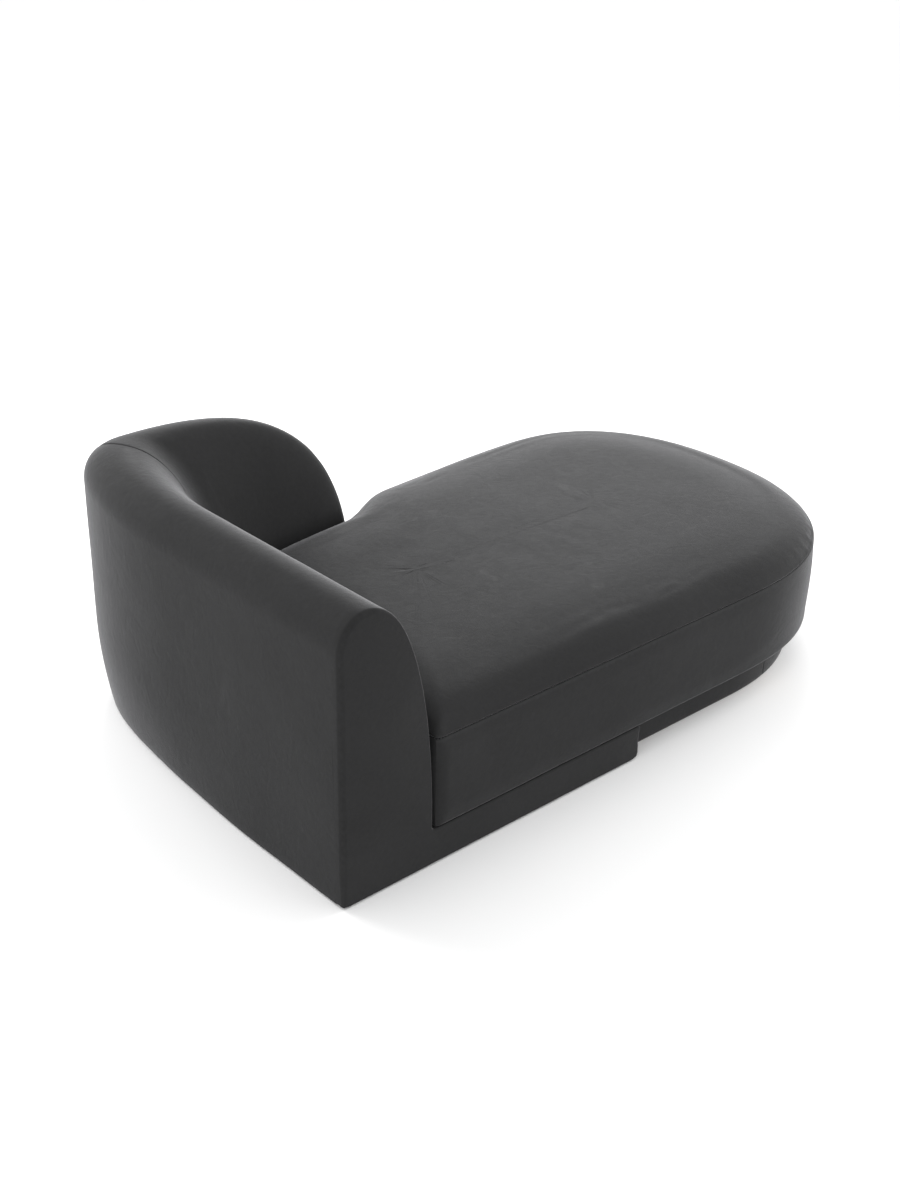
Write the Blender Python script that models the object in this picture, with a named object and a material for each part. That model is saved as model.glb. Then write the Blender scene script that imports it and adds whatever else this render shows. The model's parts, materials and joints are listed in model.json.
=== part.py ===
"""One-armed upholstered daybed: a low curved back that sweeps round one corner into a short arm,
a long egg-shaped seat, and a recessed plinth.  Metres, +Z up.

The model is laid out in plan as (u, v): u runs from the outside of the back towards the foot,
v from the flat joining side towards the arm.  place() turns a plan point into the part's frame,
whose origin is the middle of the footprint on the floor.
"""
import math

import bmesh
import bpy
from mathutils import Vector

# Overall sizes
LENGTH = 1.965            # outside of the back to the tip of the foot
WIDTH = 1.200             # flat side to the widest point of the arm
HEIGHT = 0.722            # floor to the top of the back
BASE_TOP = 0.0965         # top of the low base under the seat
BASE_DEPTH = 0.956        # the base stops here, and the plinth goes on
FLOOR_GAP = 0.0025        # underside of the covers above the floor

# Back and arm shell
CORNER_RUN = 0.171        # plan corner, along u
CORNER_REACH = 0.560      # plan corner, along v
CORNER_POWER = 2.1
ARM_TIP = 0.876           # the arm ends here
ARM_SWEEP = 0.095         # how far the arm curves in by its tip
ARM_FALL_START = 0.176    # the arm's top starts to fall here
ARM_FALL_POWER = 2.94
ARM_TIP_THICKNESS = 0.30  # thickness at the tip, as a share of the back's
NOSE_RADIUS = 0.045       # plan rounding of the arm's tip
OUTER_ROLL = 0.080        # outer face to the ridge
OUTER_ROLL_RISE = 0.090
INNER_RUN = 0.172         # ridge to the inner face at its foot
INNER_POWER = 2.2
INNER_CORNER_END = 0.600  # the inner face is round up to here, along u
INNER_CORNER_PULL = 0.62  # fullness of that round corner
WALL_TAPER = 0.027        # the corner draws in this much at the floor
TAPER_HEIGHT = 0.25

# Seat
SEAT_SEAM = 0.335         # height of the seam between boxing and top panel
SEAT_WIDTH = WIDTH - 0.073  # flat side to the far edge of the seat
CROWN_RISE = 0.070
CROWN_RUN = 0.265
NEAR_LOBE = 0.606         # foot outline: start of the near quarter, measured back from the foot
NEAR_LOBE_WIDTH = 0.590
FAR_LOBE = 0.459          # start of the far quarter, measured back from the foot
LOBE_POWER = 2.33
FAR_SIDE_DROP = 0.040     # the far side curves in this much by the arm's tip
SEAT_BACK_GAP = 0.018     # seat edge to the foot of the inner face
SEAT_CORNER = 0.020       # plan rounding of the seat's corner on the flat side
ARM_SHOULDER = 0.070      # the seat leaves the arm this far before its tip
SHOULDER_RUN = 0.150      # and reaches its full width this far past it
SHOULDER_PULL = 0.42      # fullness of that curve

# Plinth
PLINTH_INSET = 0.048      # plinth face inside the seat's outline

# Sheet and board thicknesses
FABRIC = 0.0015
WADDING = 0.010
BACK_FOAM = 0.045
SKIN = 0.003              # bending plywood
BOARD = 0.018             # plywood
TIMBER = 0.025
CREST_PLY = 0.006
CREST_DROP = 0.042        # top of the crest strip under the ridge
CREST_START = 0.62        # its outer edge, as a share of the way to the ridge
NOSE_START = 0.04         # the arm's nose block starts this share of a section past the frame
RIB_SHARES = (0.33, 0.80)  # corner and rear arm ribs, along the shell from the back to the tip
DECK_BOARD = 0.012
WEB = 0.0015
WEB_WIDTH = 0.070
DUST_SHEET = 0.0012
GLIDE_RADIUS = 0.016
PANEL_PAD = 0.008

# Clearances
TOUCH = 0.0003            # pieces that rest on each other
EASE = 0.0010             # soft layers on curved faces
RIB_EASE = 0.004          # flat ribs inside curved skins
SEAT_LIFT = 0.002         # edge of the boxing above the base
COVER_LIFT = 0.001        # top edge of the low covers under the seat
FRAME_DROP = 0.002        # top of the low timbers under the seat
CUT_GAP = 0.005           # ends of timbers that meet at an angle
SEAT_HEM = 0.012          # edge of the deck board, clear of the boxing's turned hem

# Seat build-up
FRAME_BASE = BASE_TOP + TOUCH
RAIL_BASE = FRAME_BASE + DECK_BOARD + TOUCH
RAIL_TOP = 0.165
FOAM_BASE = RAIL_TOP + 2 * WEB + 4 * TOUCH
FOAM_SPLIT = 0.300

# Levels of the low frame
SHEET_BASE = FLOOR_GAP + TOUCH / 2
FRAME_LOW = FLOOR_GAP + DUST_SHEET + TOUCH
FRAME_HIGH = BASE_TOP - FRAME_DROP

# Insets of the shell's layers from its faces
WADDING_INSET = FABRIC + EASE
OUTER_SKIN_INSET = WADDING_INSET + WADDING + EASE
FOAM_INSET = FABRIC + EASE
INNER_SKIN_INSET = FOAM_INSET + BACK_FOAM + EASE

FABRIC_COLOUR = (0.052, 0.052, 0.054)
PLY_COLOUR = (0.62, 0.47, 0.30)
TIMBER_COLOUR = (0.66, 0.50, 0.31)
FOAM_COLOUR = (0.80, 0.77, 0.62)
WADDING_COLOUR = (0.85, 0.85, 0.83)
BLACK_COLOUR = (0.03, 0.03, 0.03)


# ---------------------------------------------------------------- plan geometry

def place(u, v, z):
    """Plan point and height to the part's frame."""
    return Vector((u - LENGTH / 2, v - WIDTH / 2, z))


def superellipse(angle, power):
    """Unit superellipse point at an angle from 0 to a quarter turn."""
    return math.cos(angle) ** (2 / power), math.sin(angle) ** (2 / power)


def arm_line(u):
    """Outer face of the arm in plan."""
    share = (u - CORNER_RUN) / (ARM_TIP - CORNER_RUN)
    return WIDTH - ARM_SWEEP * share ** 2


def arm_thickness(u):
    """Thickness of the arm at its foot, thinning towards the tip."""
    share = (u - CORNER_RUN) / (ARM_TIP - CORNER_RUN)
    return (OUTER_ROLL + INNER_RUN) * (1 - (1 - ARM_TIP_THICKNESS) * share ** 1.5)


def arm_inner_line(u):
    """Foot of the arm's inner face in plan."""
    return arm_line(u) - arm_thickness(u)


def inside_shell(u, v):
    """True where a plan point lies within the shell's outer face."""
    reach_start = WIDTH - CORNER_REACH
    if u < 0.0:
        return False
    if u < CORNER_RUN and v > reach_start:
        across = (CORNER_RUN - u) / CORNER_RUN
        along = (v - reach_start) / CORNER_REACH
        return across ** CORNER_POWER + along ** CORNER_POWER < 1.0
    return v < (arm_line(u) if u > CORNER_RUN else WIDTH)


def bezier(a, b, c, d, steps):
    """Points on a cubic curve, without its first point."""
    points = []
    for i in range(1, steps + 1):
        t = i / steps
        w = ((1 - t) ** 3, 3 * t * (1 - t) ** 2, 3 * t * t * (1 - t), t ** 3)
        points.append(tuple(w[0] * a[k] + w[1] * b[k] + w[2] * c[k] + w[3] * d[k] for k in (0, 1)))
    return points


class Station:
    """One upright section through the shell, from its outer face to the foot of its inner face."""

    def __init__(self, foot, ahead):
        length = math.hypot(*ahead)
        self.inward = (ahead[1] / length, -ahead[0] / length)
        depth = self.find_outer_face(foot)
        self.depth = depth
        self.u = foot[0] - self.inward[0] * depth
        self.v = foot[1] - self.inward[1] * depth
        ridge = self.u + self.inward[0] * OUTER_ROLL
        on_arm = self.v > WIDTH - CORNER_REACH
        fall = max(0.0, (ridge - ARM_FALL_START) / (ARM_TIP - ARM_FALL_START)) if on_arm else 0.0
        drop = (1 - min(fall, 1.0) ** ARM_FALL_POWER) ** (1 / ARM_FALL_POWER)
        self.height = BASE_TOP + (HEIGHT - BASE_TOP) * drop
        nose = max(0.0, (foot[0] - ARM_TIP + NOSE_RADIUS) / NOSE_RADIUS) if on_arm else 0.0
        self.nose = math.sqrt(max(0.0, 1 - nose ** 2))
        blend = min(1.0, max(0.0, (self.v - WIDTH / 4) / (WIDTH / 2)))
        self.taper = WALL_TAPER * blend ** 2 * (3 - 2 * blend)

    def find_outer_face(self, foot):
        """Distance from the inner foot out to the outer face, by halving."""
        near, far = 0.0, 1.0
        for _ in range(40):
            middle = (near + far) / 2
            u = foot[0] - self.inward[0] * middle
            v = foot[1] - self.inward[1] * middle
            near, far = (middle, far) if inside_shell(u, v) else (near, middle)
        return near

    def spans(self):
        """Start of the outer face, then the widths outside and inside the ridge."""
        outer = self.depth * OUTER_ROLL / (OUTER_ROLL + INNER_RUN)
        inner = self.depth - outer
        start = (1 - self.nose) * self.depth / 2
        return start, outer * self.nose, inner * self.nose

    def at(self, depth, z):
        return place(self.u + self.inward[0] * depth, self.v + self.inward[1] * depth, z)

    def foot(self):
        """Depth of the inner face at its foot."""
        return sum(self.spans())


def inner_foot_line(start, back_steps, corner_steps, arm_steps):
    """Foot of the inner face in plan, from the flat side round the corner to the arm's tip."""
    foot = OUTER_ROLL + INNER_RUN
    turn = WIDTH - CORNER_REACH
    points = [(foot, start)] + [(foot, turn * i / back_steps) for i in range(1, back_steps + 1)]
    step = 0.001
    end = (INNER_CORNER_END, arm_inner_line(INNER_CORNER_END))
    slope = (arm_inner_line(INNER_CORNER_END + step) - end[1]) / step
    pull = (INNER_CORNER_END - foot) * INNER_CORNER_PULL
    handle = (end[0] - pull, end[1] - pull * slope)
    points += bezier(points[-1], (foot, turn + pull), handle, end, corner_steps)
    last = ARM_TIP - NOSE_RADIUS / 40
    for i in range(1, arm_steps + 1):
        share = math.sin(math.pi / 2 * i / arm_steps) ** 0.8
        u = INNER_CORNER_END + (last - INNER_CORNER_END) * share
        points.append((u, arm_inner_line(u)))
    return points


def shell_stations(start=0.0, back_steps=4, corner_steps=20, arm_steps=11):
    """Sections from the flat side round the corner to the arm's tip."""
    points = inner_foot_line(start, back_steps, corner_steps, arm_steps)
    stations = []
    for i, point in enumerate(points):
        before = points[max(i - 1, 0)]
        after = points[min(i + 1, len(points) - 1)]
        stations.append(Station(point, (after[0] - before[0], after[1] - before[1])))
    return stations


def outer_profile(station, inset, base=FLOOR_GAP, steps=5):
    """Outer face and roll, from the floor up to the ridge, set in by inset."""
    start, outer, _ = station.spans()
    rise = OUTER_ROLL_RISE * station.height / HEIGHT
    shoulder = station.height - rise
    points = []
    for share in (0.0, 0.17, 0.40, 1.0):
        z = max(base, shoulder * share)
        draw = station.taper * max(0.0, 1 - z / TAPER_HEIGHT) ** 2
        points.append((start + draw + inset, z))
    for i in range(1, steps + 1):
        across, up = superellipse(math.pi / 2 * i / steps, 2.1)
        points.append((start + outer - (outer - inset) * across, shoulder + (rise - inset) * up))
    return points


def inner_profile(station, inset, base=BASE_TOP, steps=7):
    """Inner face from the ridge down to the base, set in by inset."""
    start, outer, inner = station.spans()
    low = 0.10 * station.height / HEIGHT
    points = []
    for i in range(steps + 1):
        up, across = superellipse(math.pi / 2 * i / steps, INNER_POWER)
        depth = start + outer + (inner - inset) * across
        points.append((depth, low + (station.height - low - inset) * up))
    points[-1] = (points[-1][0], base)
    return points


def foot_outline(steps=11):
    """Seat outline round the foot, from the flat side to the far side."""
    points = []
    for i in range(steps):
        along, across = superellipse(math.pi / 2 * (1 - i / steps), LOBE_POWER)
        points.append((LENGTH - NEAR_LOBE + NEAR_LOBE * along, NEAR_LOBE_WIDTH * (1 - across)))
    far_width = SEAT_WIDTH - NEAR_LOBE_WIDTH
    for i in range(steps + 1):
        along, across = superellipse(math.pi / 2 * i / steps, LOBE_POWER)
        points.append((LENGTH - FAR_LOBE + FAR_LOBE * along, NEAR_LOBE_WIDTH + far_width * across))
    return points


def far_side(u):
    """Far edge of the seat between the arm and the foot."""
    start = LENGTH - FAR_LOBE
    return SEAT_WIDTH - FAR_SIDE_DROP * ((start - u) / (start - ARM_TIP)) ** 2


def arm_side_points():
    """Seat edge from its far side in round the arm's tip and along the inner face to the back."""
    leave = ARM_TIP - ARM_SHOULDER
    reach = ARM_TIP + SHOULDER_RUN
    foot = inset_outline(inner_foot_line(0.0, 2, 8, 12), -SEAT_BACK_GAP, closed=False)
    inner = [(u, v) for u, v in foot if u < leave and v > WIDTH - CORNER_REACH - EASE]
    shoulder = (reach - leave) * SHOULDER_PULL
    slope = (inner[-1][1] - inner[-2][1]) / (inner[-1][0] - inner[-2][0])
    start, end = (reach, far_side(reach)), inner[-1]
    first_handle = (start[0] - shoulder, far_side(start[0] - shoulder))
    last_handle = (end[0] + shoulder, end[1] + shoulder * slope)
    return [start] + bezier(start, first_handle, last_handle, end, 6) + inner[-2::-1]


def seat_outline():
    """Whole seat outline, anticlockwise from above, starting on the flat side by the back."""
    back = INNER_RUN + OUTER_ROLL + SEAT_BACK_GAP
    run = LENGTH - NEAR_LOBE - back - SEAT_CORNER
    points = [(back + SEAT_CORNER + run * i / 4, 0.0) for i in range(4)]
    points += foot_outline()
    far_end = LENGTH - FAR_LOBE
    reach = ARM_TIP + SHOULDER_RUN
    for i in (1, 2):
        u = far_end + (reach - far_end) * i / 3
        points.append((u, far_side(u)))
    points += arm_side_points()
    points.append((back, SEAT_CORNER))
    points.append((back + SEAT_CORNER * 0.29, SEAT_CORNER * 0.29))
    return points


def inset_outline(points, inset, closed=True):
    """Move a plan outline inwards by inset, keeping its corners mitred."""
    moved = []
    count = len(points)
    for i, point in enumerate(points):
        before = Vector(points[i - 1] if closed or i else point)
        after = Vector(points[(i + 1) % count] if closed or i < count - 1 else point)
        here = Vector(point)
        incoming = (here - before).normalized() if (here - before).length else None
        outgoing = (after - here).normalized() if (after - here).length else incoming
        incoming = incoming or outgoing
        normals = [Vector((-d.y, d.x)) for d in (incoming, outgoing)]
        mitre = (normals[0] + normals[1]).normalized()
        step = inset / max(0.5, mitre.dot(normals[0]))
        moved.append((here.x + mitre.x * step, here.y + mitre.y * step))
    return moved


# ---------------------------------------------------------------- building tools

def clear_scene():
    for thing in list(bpy.data.objects):
        bpy.data.objects.remove(thing, do_unlink=True)


def material(name, colour, roughness=0.8, metallic=0.0):
    made = bpy.data.materials.get(name) or bpy.data.materials.new(name)
    made.use_nodes = True
    shader = made.node_tree.nodes["Principled BSDF"]
    shader.inputs["Base Color"].default_value = (*colour, 1.0)
    shader.inputs["Roughness"].default_value = roughness
    shader.inputs["Metallic"].default_value = metallic
    return made


def add_object(name, mesh_builder, finish, smooth=False):
    """Make a named object from a bmesh, with outward faces."""
    bmesh.ops.remove_doubles(mesh_builder, verts=mesh_builder.verts, dist=1e-6)
    bmesh.ops.recalc_face_normals(mesh_builder, faces=mesh_builder.faces)
    mesh = bpy.data.meshes.new(name)
    mesh_builder.to_mesh(mesh)
    mesh_builder.free()
    mesh.materials.append(finish)
    if smooth:
        mesh.shade_smooth()
        mesh.set_sharp_from_angle(angle=math.radians(40))
    thing = bpy.data.objects.new(name, mesh)
    bpy.context.scene.collection.objects.link(thing)
    return thing


def split_quad(corners, turn):
    """Two triangles of a quad; nested layers split the same way, so they stay apart."""
    a, b, c, d = corners
    return ((a, b, d), (b, c, d)) if turn else ((a, b, c), (a, c, d))


def loft(name, rings, finish, smooth=True):
    """Skin a run of closed rings and cap both ends."""
    builder = bmesh.new()
    rows = [[builder.verts.new(point) for point in ring] for ring in rings]
    for first, second in zip(rows, rows[1:]):
        for i in range(len(first)):
            k = (i + 1) % len(first)
            corners = (first[i], first[k], second[k], second[i])
            turn = first[i].co.z > first[k].co.z + 1e-6
            for triangle in split_quad(corners, turn):
                builder.faces.new(triangle)
    builder.faces.new(list(reversed(rows[0])))
    builder.faces.new(rows[-1])
    return add_object(name, builder, finish, smooth)


def prism(name, outline, low, high, finish):
    """Upright solid over a plan outline."""
    rings = [[place(u, v, z) for u, v in outline] for z in (low, high)]
    return loft(name, rings, finish, smooth=False)


def beam(name, u_range, v_range, z_range, finish):
    """Straight timber between two plan corners."""
    (u0, u1), (v0, v1) = u_range, v_range
    return prism(name, [(u0, v0), (u1, v0), (u1, v1), (u0, v1)], *z_range, finish)


def strip(name, stations, faces, finish):
    """Solid between two profile curves, swept along the shell's stations."""
    rings = []
    for station in stations:
        near, far = faces(station)
        section = near + list(reversed(far))
        rings.append([station.at(depth, z) for depth, z in section])
    return loft(name, rings, finish)


def wall(name, line, thickness, low, high, finish, inner=None):
    """Upright board that follows an open plan line, thickness to its inner side."""
    inner = inner or inset_outline(line, thickness, closed=False)
    rings = []
    for outside, inside in zip(line, inner):
        rings.append([place(*outside, low), place(*outside, high),
                      place(*inside, high), place(*inside, low)])
    return loft(name, rings, finish)


def stretch(line, first, last, gap):
    """Part of a plan line, drawn back by gap at each of its cut ends."""
    part = [Vector(point) for point in line[first:last + 1]]
    if first > 0:
        part[0] += (part[1] - part[0]).normalized() * gap
    if last < len(line) - 1:
        part[-1] += (part[-2] - part[-1]).normalized() * gap
    return [tuple(point) for point in part]


def band(name, outline, thickness, low, high, finish):
    """Closed loop of sheet, with its thickness to the inside."""
    builder = bmesh.new()
    inner = inset_outline(outline, thickness)
    sections = []
    for outside, inside in zip(outline, inner):
        corners = (place(*outside, low), place(*outside, high), place(*inside, high), place(*inside, low))
        sections.append([builder.verts.new(corner) for corner in corners])
    for i, section in enumerate(sections):
        after = sections[(i + 1) % len(sections)]
        for k in range(4):
            n = (k + 1) % 4
            builder.faces.new((section[k], after[k], after[n], section[n]))
    return add_object(name, builder, finish, smooth=True)


# ---------------------------------------------------------------- base and plinth

def low_panel_depth():
    """Depth of the side panel from its face to the back of its board."""
    return FABRIC + EASE + PANEL_PAD + TOUCH + BOARD


def panel_outline(inset, low):
    """Side panel seen square on: back section with the base rail in front, as (u, z)."""
    station = shell_stations()[0]
    outer = [(d, z) for d, z in outer_profile(station, inset, base=low)]
    inner = [(d, z) for d, z in inner_profile(station, inset)][1:-1]
    foot = OUTER_ROLL + INNER_RUN
    corner = [(foot - inset, BASE_TOP + SEAT_BACK_GAP), (foot + SEAT_BACK_GAP * 0.3, BASE_TOP + 0.003),
              (foot + SEAT_BACK_GAP, BASE_TOP - inset)]
    corner[1] = (corner[1][0] - inset * 0.7, corner[1][1] - inset * 0.7)
    rail = [(BASE_DEPTH - inset, BASE_TOP - inset), (BASE_DEPTH - inset, low)]
    return outer + inner + corner + rail


def side_panel(finishes):
    """Flat joining side: a board, its pad and its cover, all in the same shape."""
    layers = [("side_panel_cover", 0.0, FABRIC, 0.0, finishes["fabric"]),
              ("side_panel_pad", FABRIC + EASE, PANEL_PAD, FABRIC + TOUCH, finishes["wadding"]),
              ("side_panel_board", FABRIC + EASE + PANEL_PAD + TOUCH, BOARD, WADDING, finishes["ply"])]
    for name, start, thickness, inset, finish in layers:
        outline = panel_outline(inset, FLOOR_GAP + (inset and TOUCH + DUST_SHEET))
        rings = [[place(u, v, z) for u, z in outline] for v in (start, start + thickness)]
        loft(name, rings, finish, smooth=False)


def base_frame(finishes):
    """Timbers of the low base under the back, arm and rear of the seat."""
    levels = (FRAME_LOW, FRAME_HIGH)
    timber = finishes["timber"]
    near = low_panel_depth() + TOUCH
    foot = OUTER_ROLL + INNER_RUN + SEAT_BACK_GAP
    front = BASE_DEPTH - FABRIC - EASE
    far = arm_line(ARM_TIP) - PLINTH_INSET * 2
    middle = (WIDTH - TIMBER) / 2
    beam("base_rail_near", (foot, front), (near, near + TIMBER), levels, timber)
    beam("base_rail_front", (front - TIMBER, front), (near + TIMBER + TOUCH, far), levels, timber)
    beam("base_rail_middle", (foot, front - TIMBER - TOUCH), (middle, middle + TIMBER), levels, timber)


def rail_end_cover(finishes):
    """Fabric that closes the near base rail where it stops short of the plinth."""
    line = [(BASE_DEPTH, FABRIC + TOUCH), (BASE_DEPTH, PLINTH_INSET)]
    wall("rail_end_cover", line, FABRIC, FLOOR_GAP, BASE_TOP - COVER_LIFT, finishes["fabric"])


def plinth_line(inset):
    """Plinth outline from the near base rail, round the foot, to the arm's tip."""
    start = BASE_DEPTH + TOUCH * 2
    end = ARM_TIP + TOUCH * 4
    reach = LENGTH - FAR_LOBE
    line = [(start, 0.0), (start + (LENGTH - NEAR_LOBE - start) / 2, 0.0)]
    line += foot_outline()
    line += [(reach + (end - reach) * i / 4, far_side(reach + (end - reach) * i / 4)) for i in (1, 2, 3, 4)]
    moved = inset_outline(line, PLINTH_INSET + inset, closed=False)
    moved[0] = (start, moved[0][1])
    moved[-1] = (end, moved[-1][1])
    return moved


def plinth(finishes):
    """Curved base under the front of the seat, set in from its edge."""
    wall("plinth_cover", plinth_line(0.0), FABRIC, FLOOR_GAP, BASE_TOP - COVER_LIFT, finishes["fabric"])
    line = plinth_line(FABRIC + EASE)
    inner = inset_outline(line, BOARD, closed=False)
    first, last, end = 3, len(line) - 5, len(line) - 1
    cuts = {"plinth_board_near": (0, first), "plinth_board_nose": (first, last), "plinth_board_far": (last, end)}
    for name, (a, b) in cuts.items():
        outside, inside = (stretch(run, a, b, TOUCH * 2) for run in (line, inner))
        wall(name, outside, BOARD, FRAME_LOW, FRAME_HIGH, finishes["ply"], inside)
    edge = PLINTH_INSET + FABRIC + EASE + BOARD
    for name, share in (("plinth_cross_rear", 0.12), ("plinth_cross_front", 0.34)):
        u = BASE_DEPTH + (LENGTH - BASE_DEPTH) * share
        far = far_side(u) - edge - TIMBER
        beam(name, (u, u + TIMBER), (edge + TOUCH, far), (FRAME_LOW, FRAME_HIGH), finishes["timber"])


def dust_covers(finishes):
    """Thin black sheets under the base and the plinth."""
    levels = (SHEET_BASE, SHEET_BASE + DUST_SHEET)
    outline = []
    for station in frame_stations():
        depth = min(WALL_TAPER + WADDING * 2, station.foot() / 2)
        outline.append((station.u + station.inward[0] * depth, station.v + station.inward[1] * depth))
    front, far = BASE_DEPTH - TIMBER / 2, arm_line(ARM_TIP) - PLINTH_INSET * 2
    outline.append((ARM_TIP - NOSE_RADIUS, far))
    outline.append((front, far))
    outline.append((front, low_panel_depth()))
    prism("dust_cover_base", outline, *levels, finishes["black"])
    line = [(max(u, BASE_DEPTH + BOARD), v) for u, v in plinth_line(FABRIC + EASE + BOARD / 2)]
    prism("dust_cover_plinth", line, *levels, finishes["black"])


def glides(finishes):
    """Plastic glides that carry the piece on the floor."""
    rail = low_panel_depth() + TIMBER / 2
    foot = LENGTH - PLINTH_INSET - FABRIC - BOARD * 2
    arm = ARM_TIP * 0.62
    height = FLOOR_GAP - TOUCH / 2
    spots = {"glide_back_near": (0.12, rail), "glide_back_far": (0.16, WIDTH - CORNER_REACH * 0.35),
             "glide_arm": (arm, arm_line(arm) - PLINTH_INSET * 1.8),
             "glide_rail_near": (BASE_DEPTH - 0.05, rail),
             "glide_plinth_near": (LENGTH - NEAR_LOBE, PLINTH_INSET + BOARD * 1.5),
             "glide_plinth_far": (LENGTH - FAR_LOBE, SEAT_WIDTH - PLINTH_INSET - BOARD * 1.5),
             "glide_foot": (foot, NEAR_LOBE_WIDTH)}
    for name, (u, v) in spots.items():
        builder = bmesh.new()
        bmesh.ops.create_cone(builder, cap_ends=True, segments=12, radius1=GLIDE_RADIUS * 0.9,
                              radius2=GLIDE_RADIUS, depth=height)
        glide = add_object(name, builder, finishes["plastic"], smooth=True)
        glide.location = place(u, v, height / 2)


# ---------------------------------------------------------------- back and arm shell

def shell_layers(finishes):
    """Covers, padding and skins of the back and arm, nested from the outside in."""
    covered = shell_stations(FABRIC + TOUCH)
    strip("outer_cover", covered, lambda s: (outer_profile(s, 0.0), outer_profile(s, FABRIC)),
          finishes["fabric"])
    strip("inner_cover", covered, lambda s: inner_pair(s, 0.0, FABRIC), finishes["fabric"])
    deep = frame_stations()
    strip("outer_wadding", deep, outer_layer(WADDING_INSET, WADDING), finishes["wadding"])
    strip("inner_foam", deep, lambda s: inner_pair(s, FOAM_INSET, BACK_FOAM), finishes["foam"])
    low = FRAME_LOW + TOUCH + BOARD
    strip("outer_skin", deep, lambda s: tuple(
        outer_profile(s, OUTER_SKIN_INSET + depth, base=low)[:4] for depth in (0.0, SKIN)), finishes["ply"])
    strip("inner_skin", deep, lambda s: tuple(
        inner_profile(s, INNER_SKIN_INSET + depth, base=low)[3:] for depth in (0.0, SKIN)), finishes["ply"])


def outer_layer(inset, thickness):
    """Two faces of a layer under the outer cover."""
    return lambda s: (outer_profile(s, inset), outer_profile(s, inset + thickness))


def arm_nose(finishes):
    """Foam block that fills the thin end of the arm, past the wooden frame."""
    stations = shell_stations(FABRIC + TOUCH)
    deep = len(frame_stations())
    rings = []
    for station in stations[deep - 1:]:
        if station.spans()[2] > WADDING_INSET * 5:
            outer = outer_profile(station, WADDING_INSET, FRAME_LOW + TOUCH)
            inner = inner_profile(station, WADDING_INSET, BASE_TOP + SEAT_BACK_GAP)[1:]
            floor = (inner[-1][0], outer[0][1])
            rings.append([station.at(depth, z) for depth, z in outer + inner + [floor]])
    gap = [a.lerp(b, NOSE_START) for a, b in zip(rings[0], rings[1])]
    loft("arm_nose_foam", [gap] + rings[1:], finishes["foam"])


def inner_pair(station, inset, thickness):
    """Front and rear of an inner layer, kept clear of the outer layers at the ridge."""
    base = BASE_TOP + SEAT_BACK_GAP + TOUCH
    front = inner_profile(station, inset, base)
    rear = inner_profile(station, inset + thickness, base)
    clear = EASE * 2
    return [(d + clear, z) for d, z in front], [(d + clear, z) for d, z in rear]


def base_boards(finishes):
    """Plywood the ribs stand on: one under the back, one under the arm."""
    low = FRAME_LOW + TOUCH / 2
    stations = frame_stations()
    split = next(i for i, s in enumerate(stations) if s.u >= CORNER_RUN)
    for name, run in (("base_board_back", stations[:split]), ("base_board_arm", stations[split + 1:])):
        rings = []
        for station in run:
            near = station.taper + WADDING + FABRIC + EASE * 3
            far = station.foot() - EASE
            rings.append([station.at(near, low), station.at(near, low + BOARD),
                          station.at(far, low + BOARD), station.at(far, low)])
        loft(name, rings, finishes["ply"])


def crest(finishes):
    """Bent plywood strip that ties the tops of the ribs together."""
    rings = []
    for station in frame_stations():
        start, outer, _ = station.spans()
        top = station.height - CREST_DROP
        near, far = start + outer * CREST_START, start + outer - EASE * 2
        rings.append([station.at(near, top - CREST_PLY), station.at(near, top),
                      station.at(far, top), station.at(far, top - CREST_PLY)])
    loft("crest_strip", rings, finishes["ply"])


def frame_stations(back_steps=4, corner_steps=20, arm_steps=11):
    """Sections with room for the wooden frame inside the padding."""
    stations = shell_stations(low_panel_depth() + TOUCH * 4, back_steps, corner_steps, arm_steps)
    return [s for s in stations if s.spans()[2] > FOAM_INSET + BACK_FOAM * 1.9]


def ribs(finishes):
    """Upright boards inside the shell, square to its run."""
    low = FRAME_LOW + TOUCH * 1.5 + BOARD
    skin_out = OUTER_SKIN_INSET + SKIN + RIB_EASE
    skin_in = INNER_SKIN_INSET + SKIN + RIB_EASE
    stations = frame_stations(8, 12, 16)
    end = frame_stations()[-1].u - BOARD
    turn, last = 8, max(i for i, s in enumerate(stations) if s.u < end)
    corner, rear = (turn + round((last - turn) * share) for share in RIB_SHARES)
    picks = {"back_rib_near": (2, 0.0), "back_rib_middle": (5, 0.0), "back_rib_far": (turn, 0.0),
             "corner_rib": (corner, 0.014), "arm_rib_rear": (rear, 0.008), "arm_rib_front": (last, 0.010)}
    for name, (index, spare) in picks.items():
        station = stations[index]
        top = station.height - CREST_DROP - CREST_PLY - TOUCH - spare
        outer = [p for p in outer_profile(station, skin_out + spare, base=low) if p[1] < top]
        inner = [p for p in inner_profile(station, skin_in + spare, base=low) if p[1] < top]
        left = outer[-1][0] + RIB_EASE
        right = max(inner[0][0] - RIB_EASE, left + RIB_EASE)
        section = outer + [(left, top), (right, top)] + inner
        along = (-station.inward[1], station.inward[0])
        rings = []
        for shift in (-BOARD / 2, BOARD / 2):
            offset = Vector((along[0] * shift, along[1] * shift, 0.0))
            rings.append([station.at(d, z) + offset for d, z in section])
        loft(name, rings, finishes["ply"], smooth=False)


# ---------------------------------------------------------------- seat

def spine_point(u, v):
    """Closest point on the seat's middle line, towards which the crown rises."""
    back = OUTER_ROLL + INNER_RUN + SEAT_BACK_GAP
    start = Vector((back + SEAT_WIDTH * 0.38, SEAT_WIDTH * 0.5))
    end = Vector((LENGTH - NEAR_LOBE, SEAT_WIDTH * 0.505))
    along = end - start
    share = (Vector((u, v)) - start).dot(along) / along.length_squared
    return start + along * min(1.0, max(0.0, share))


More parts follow.
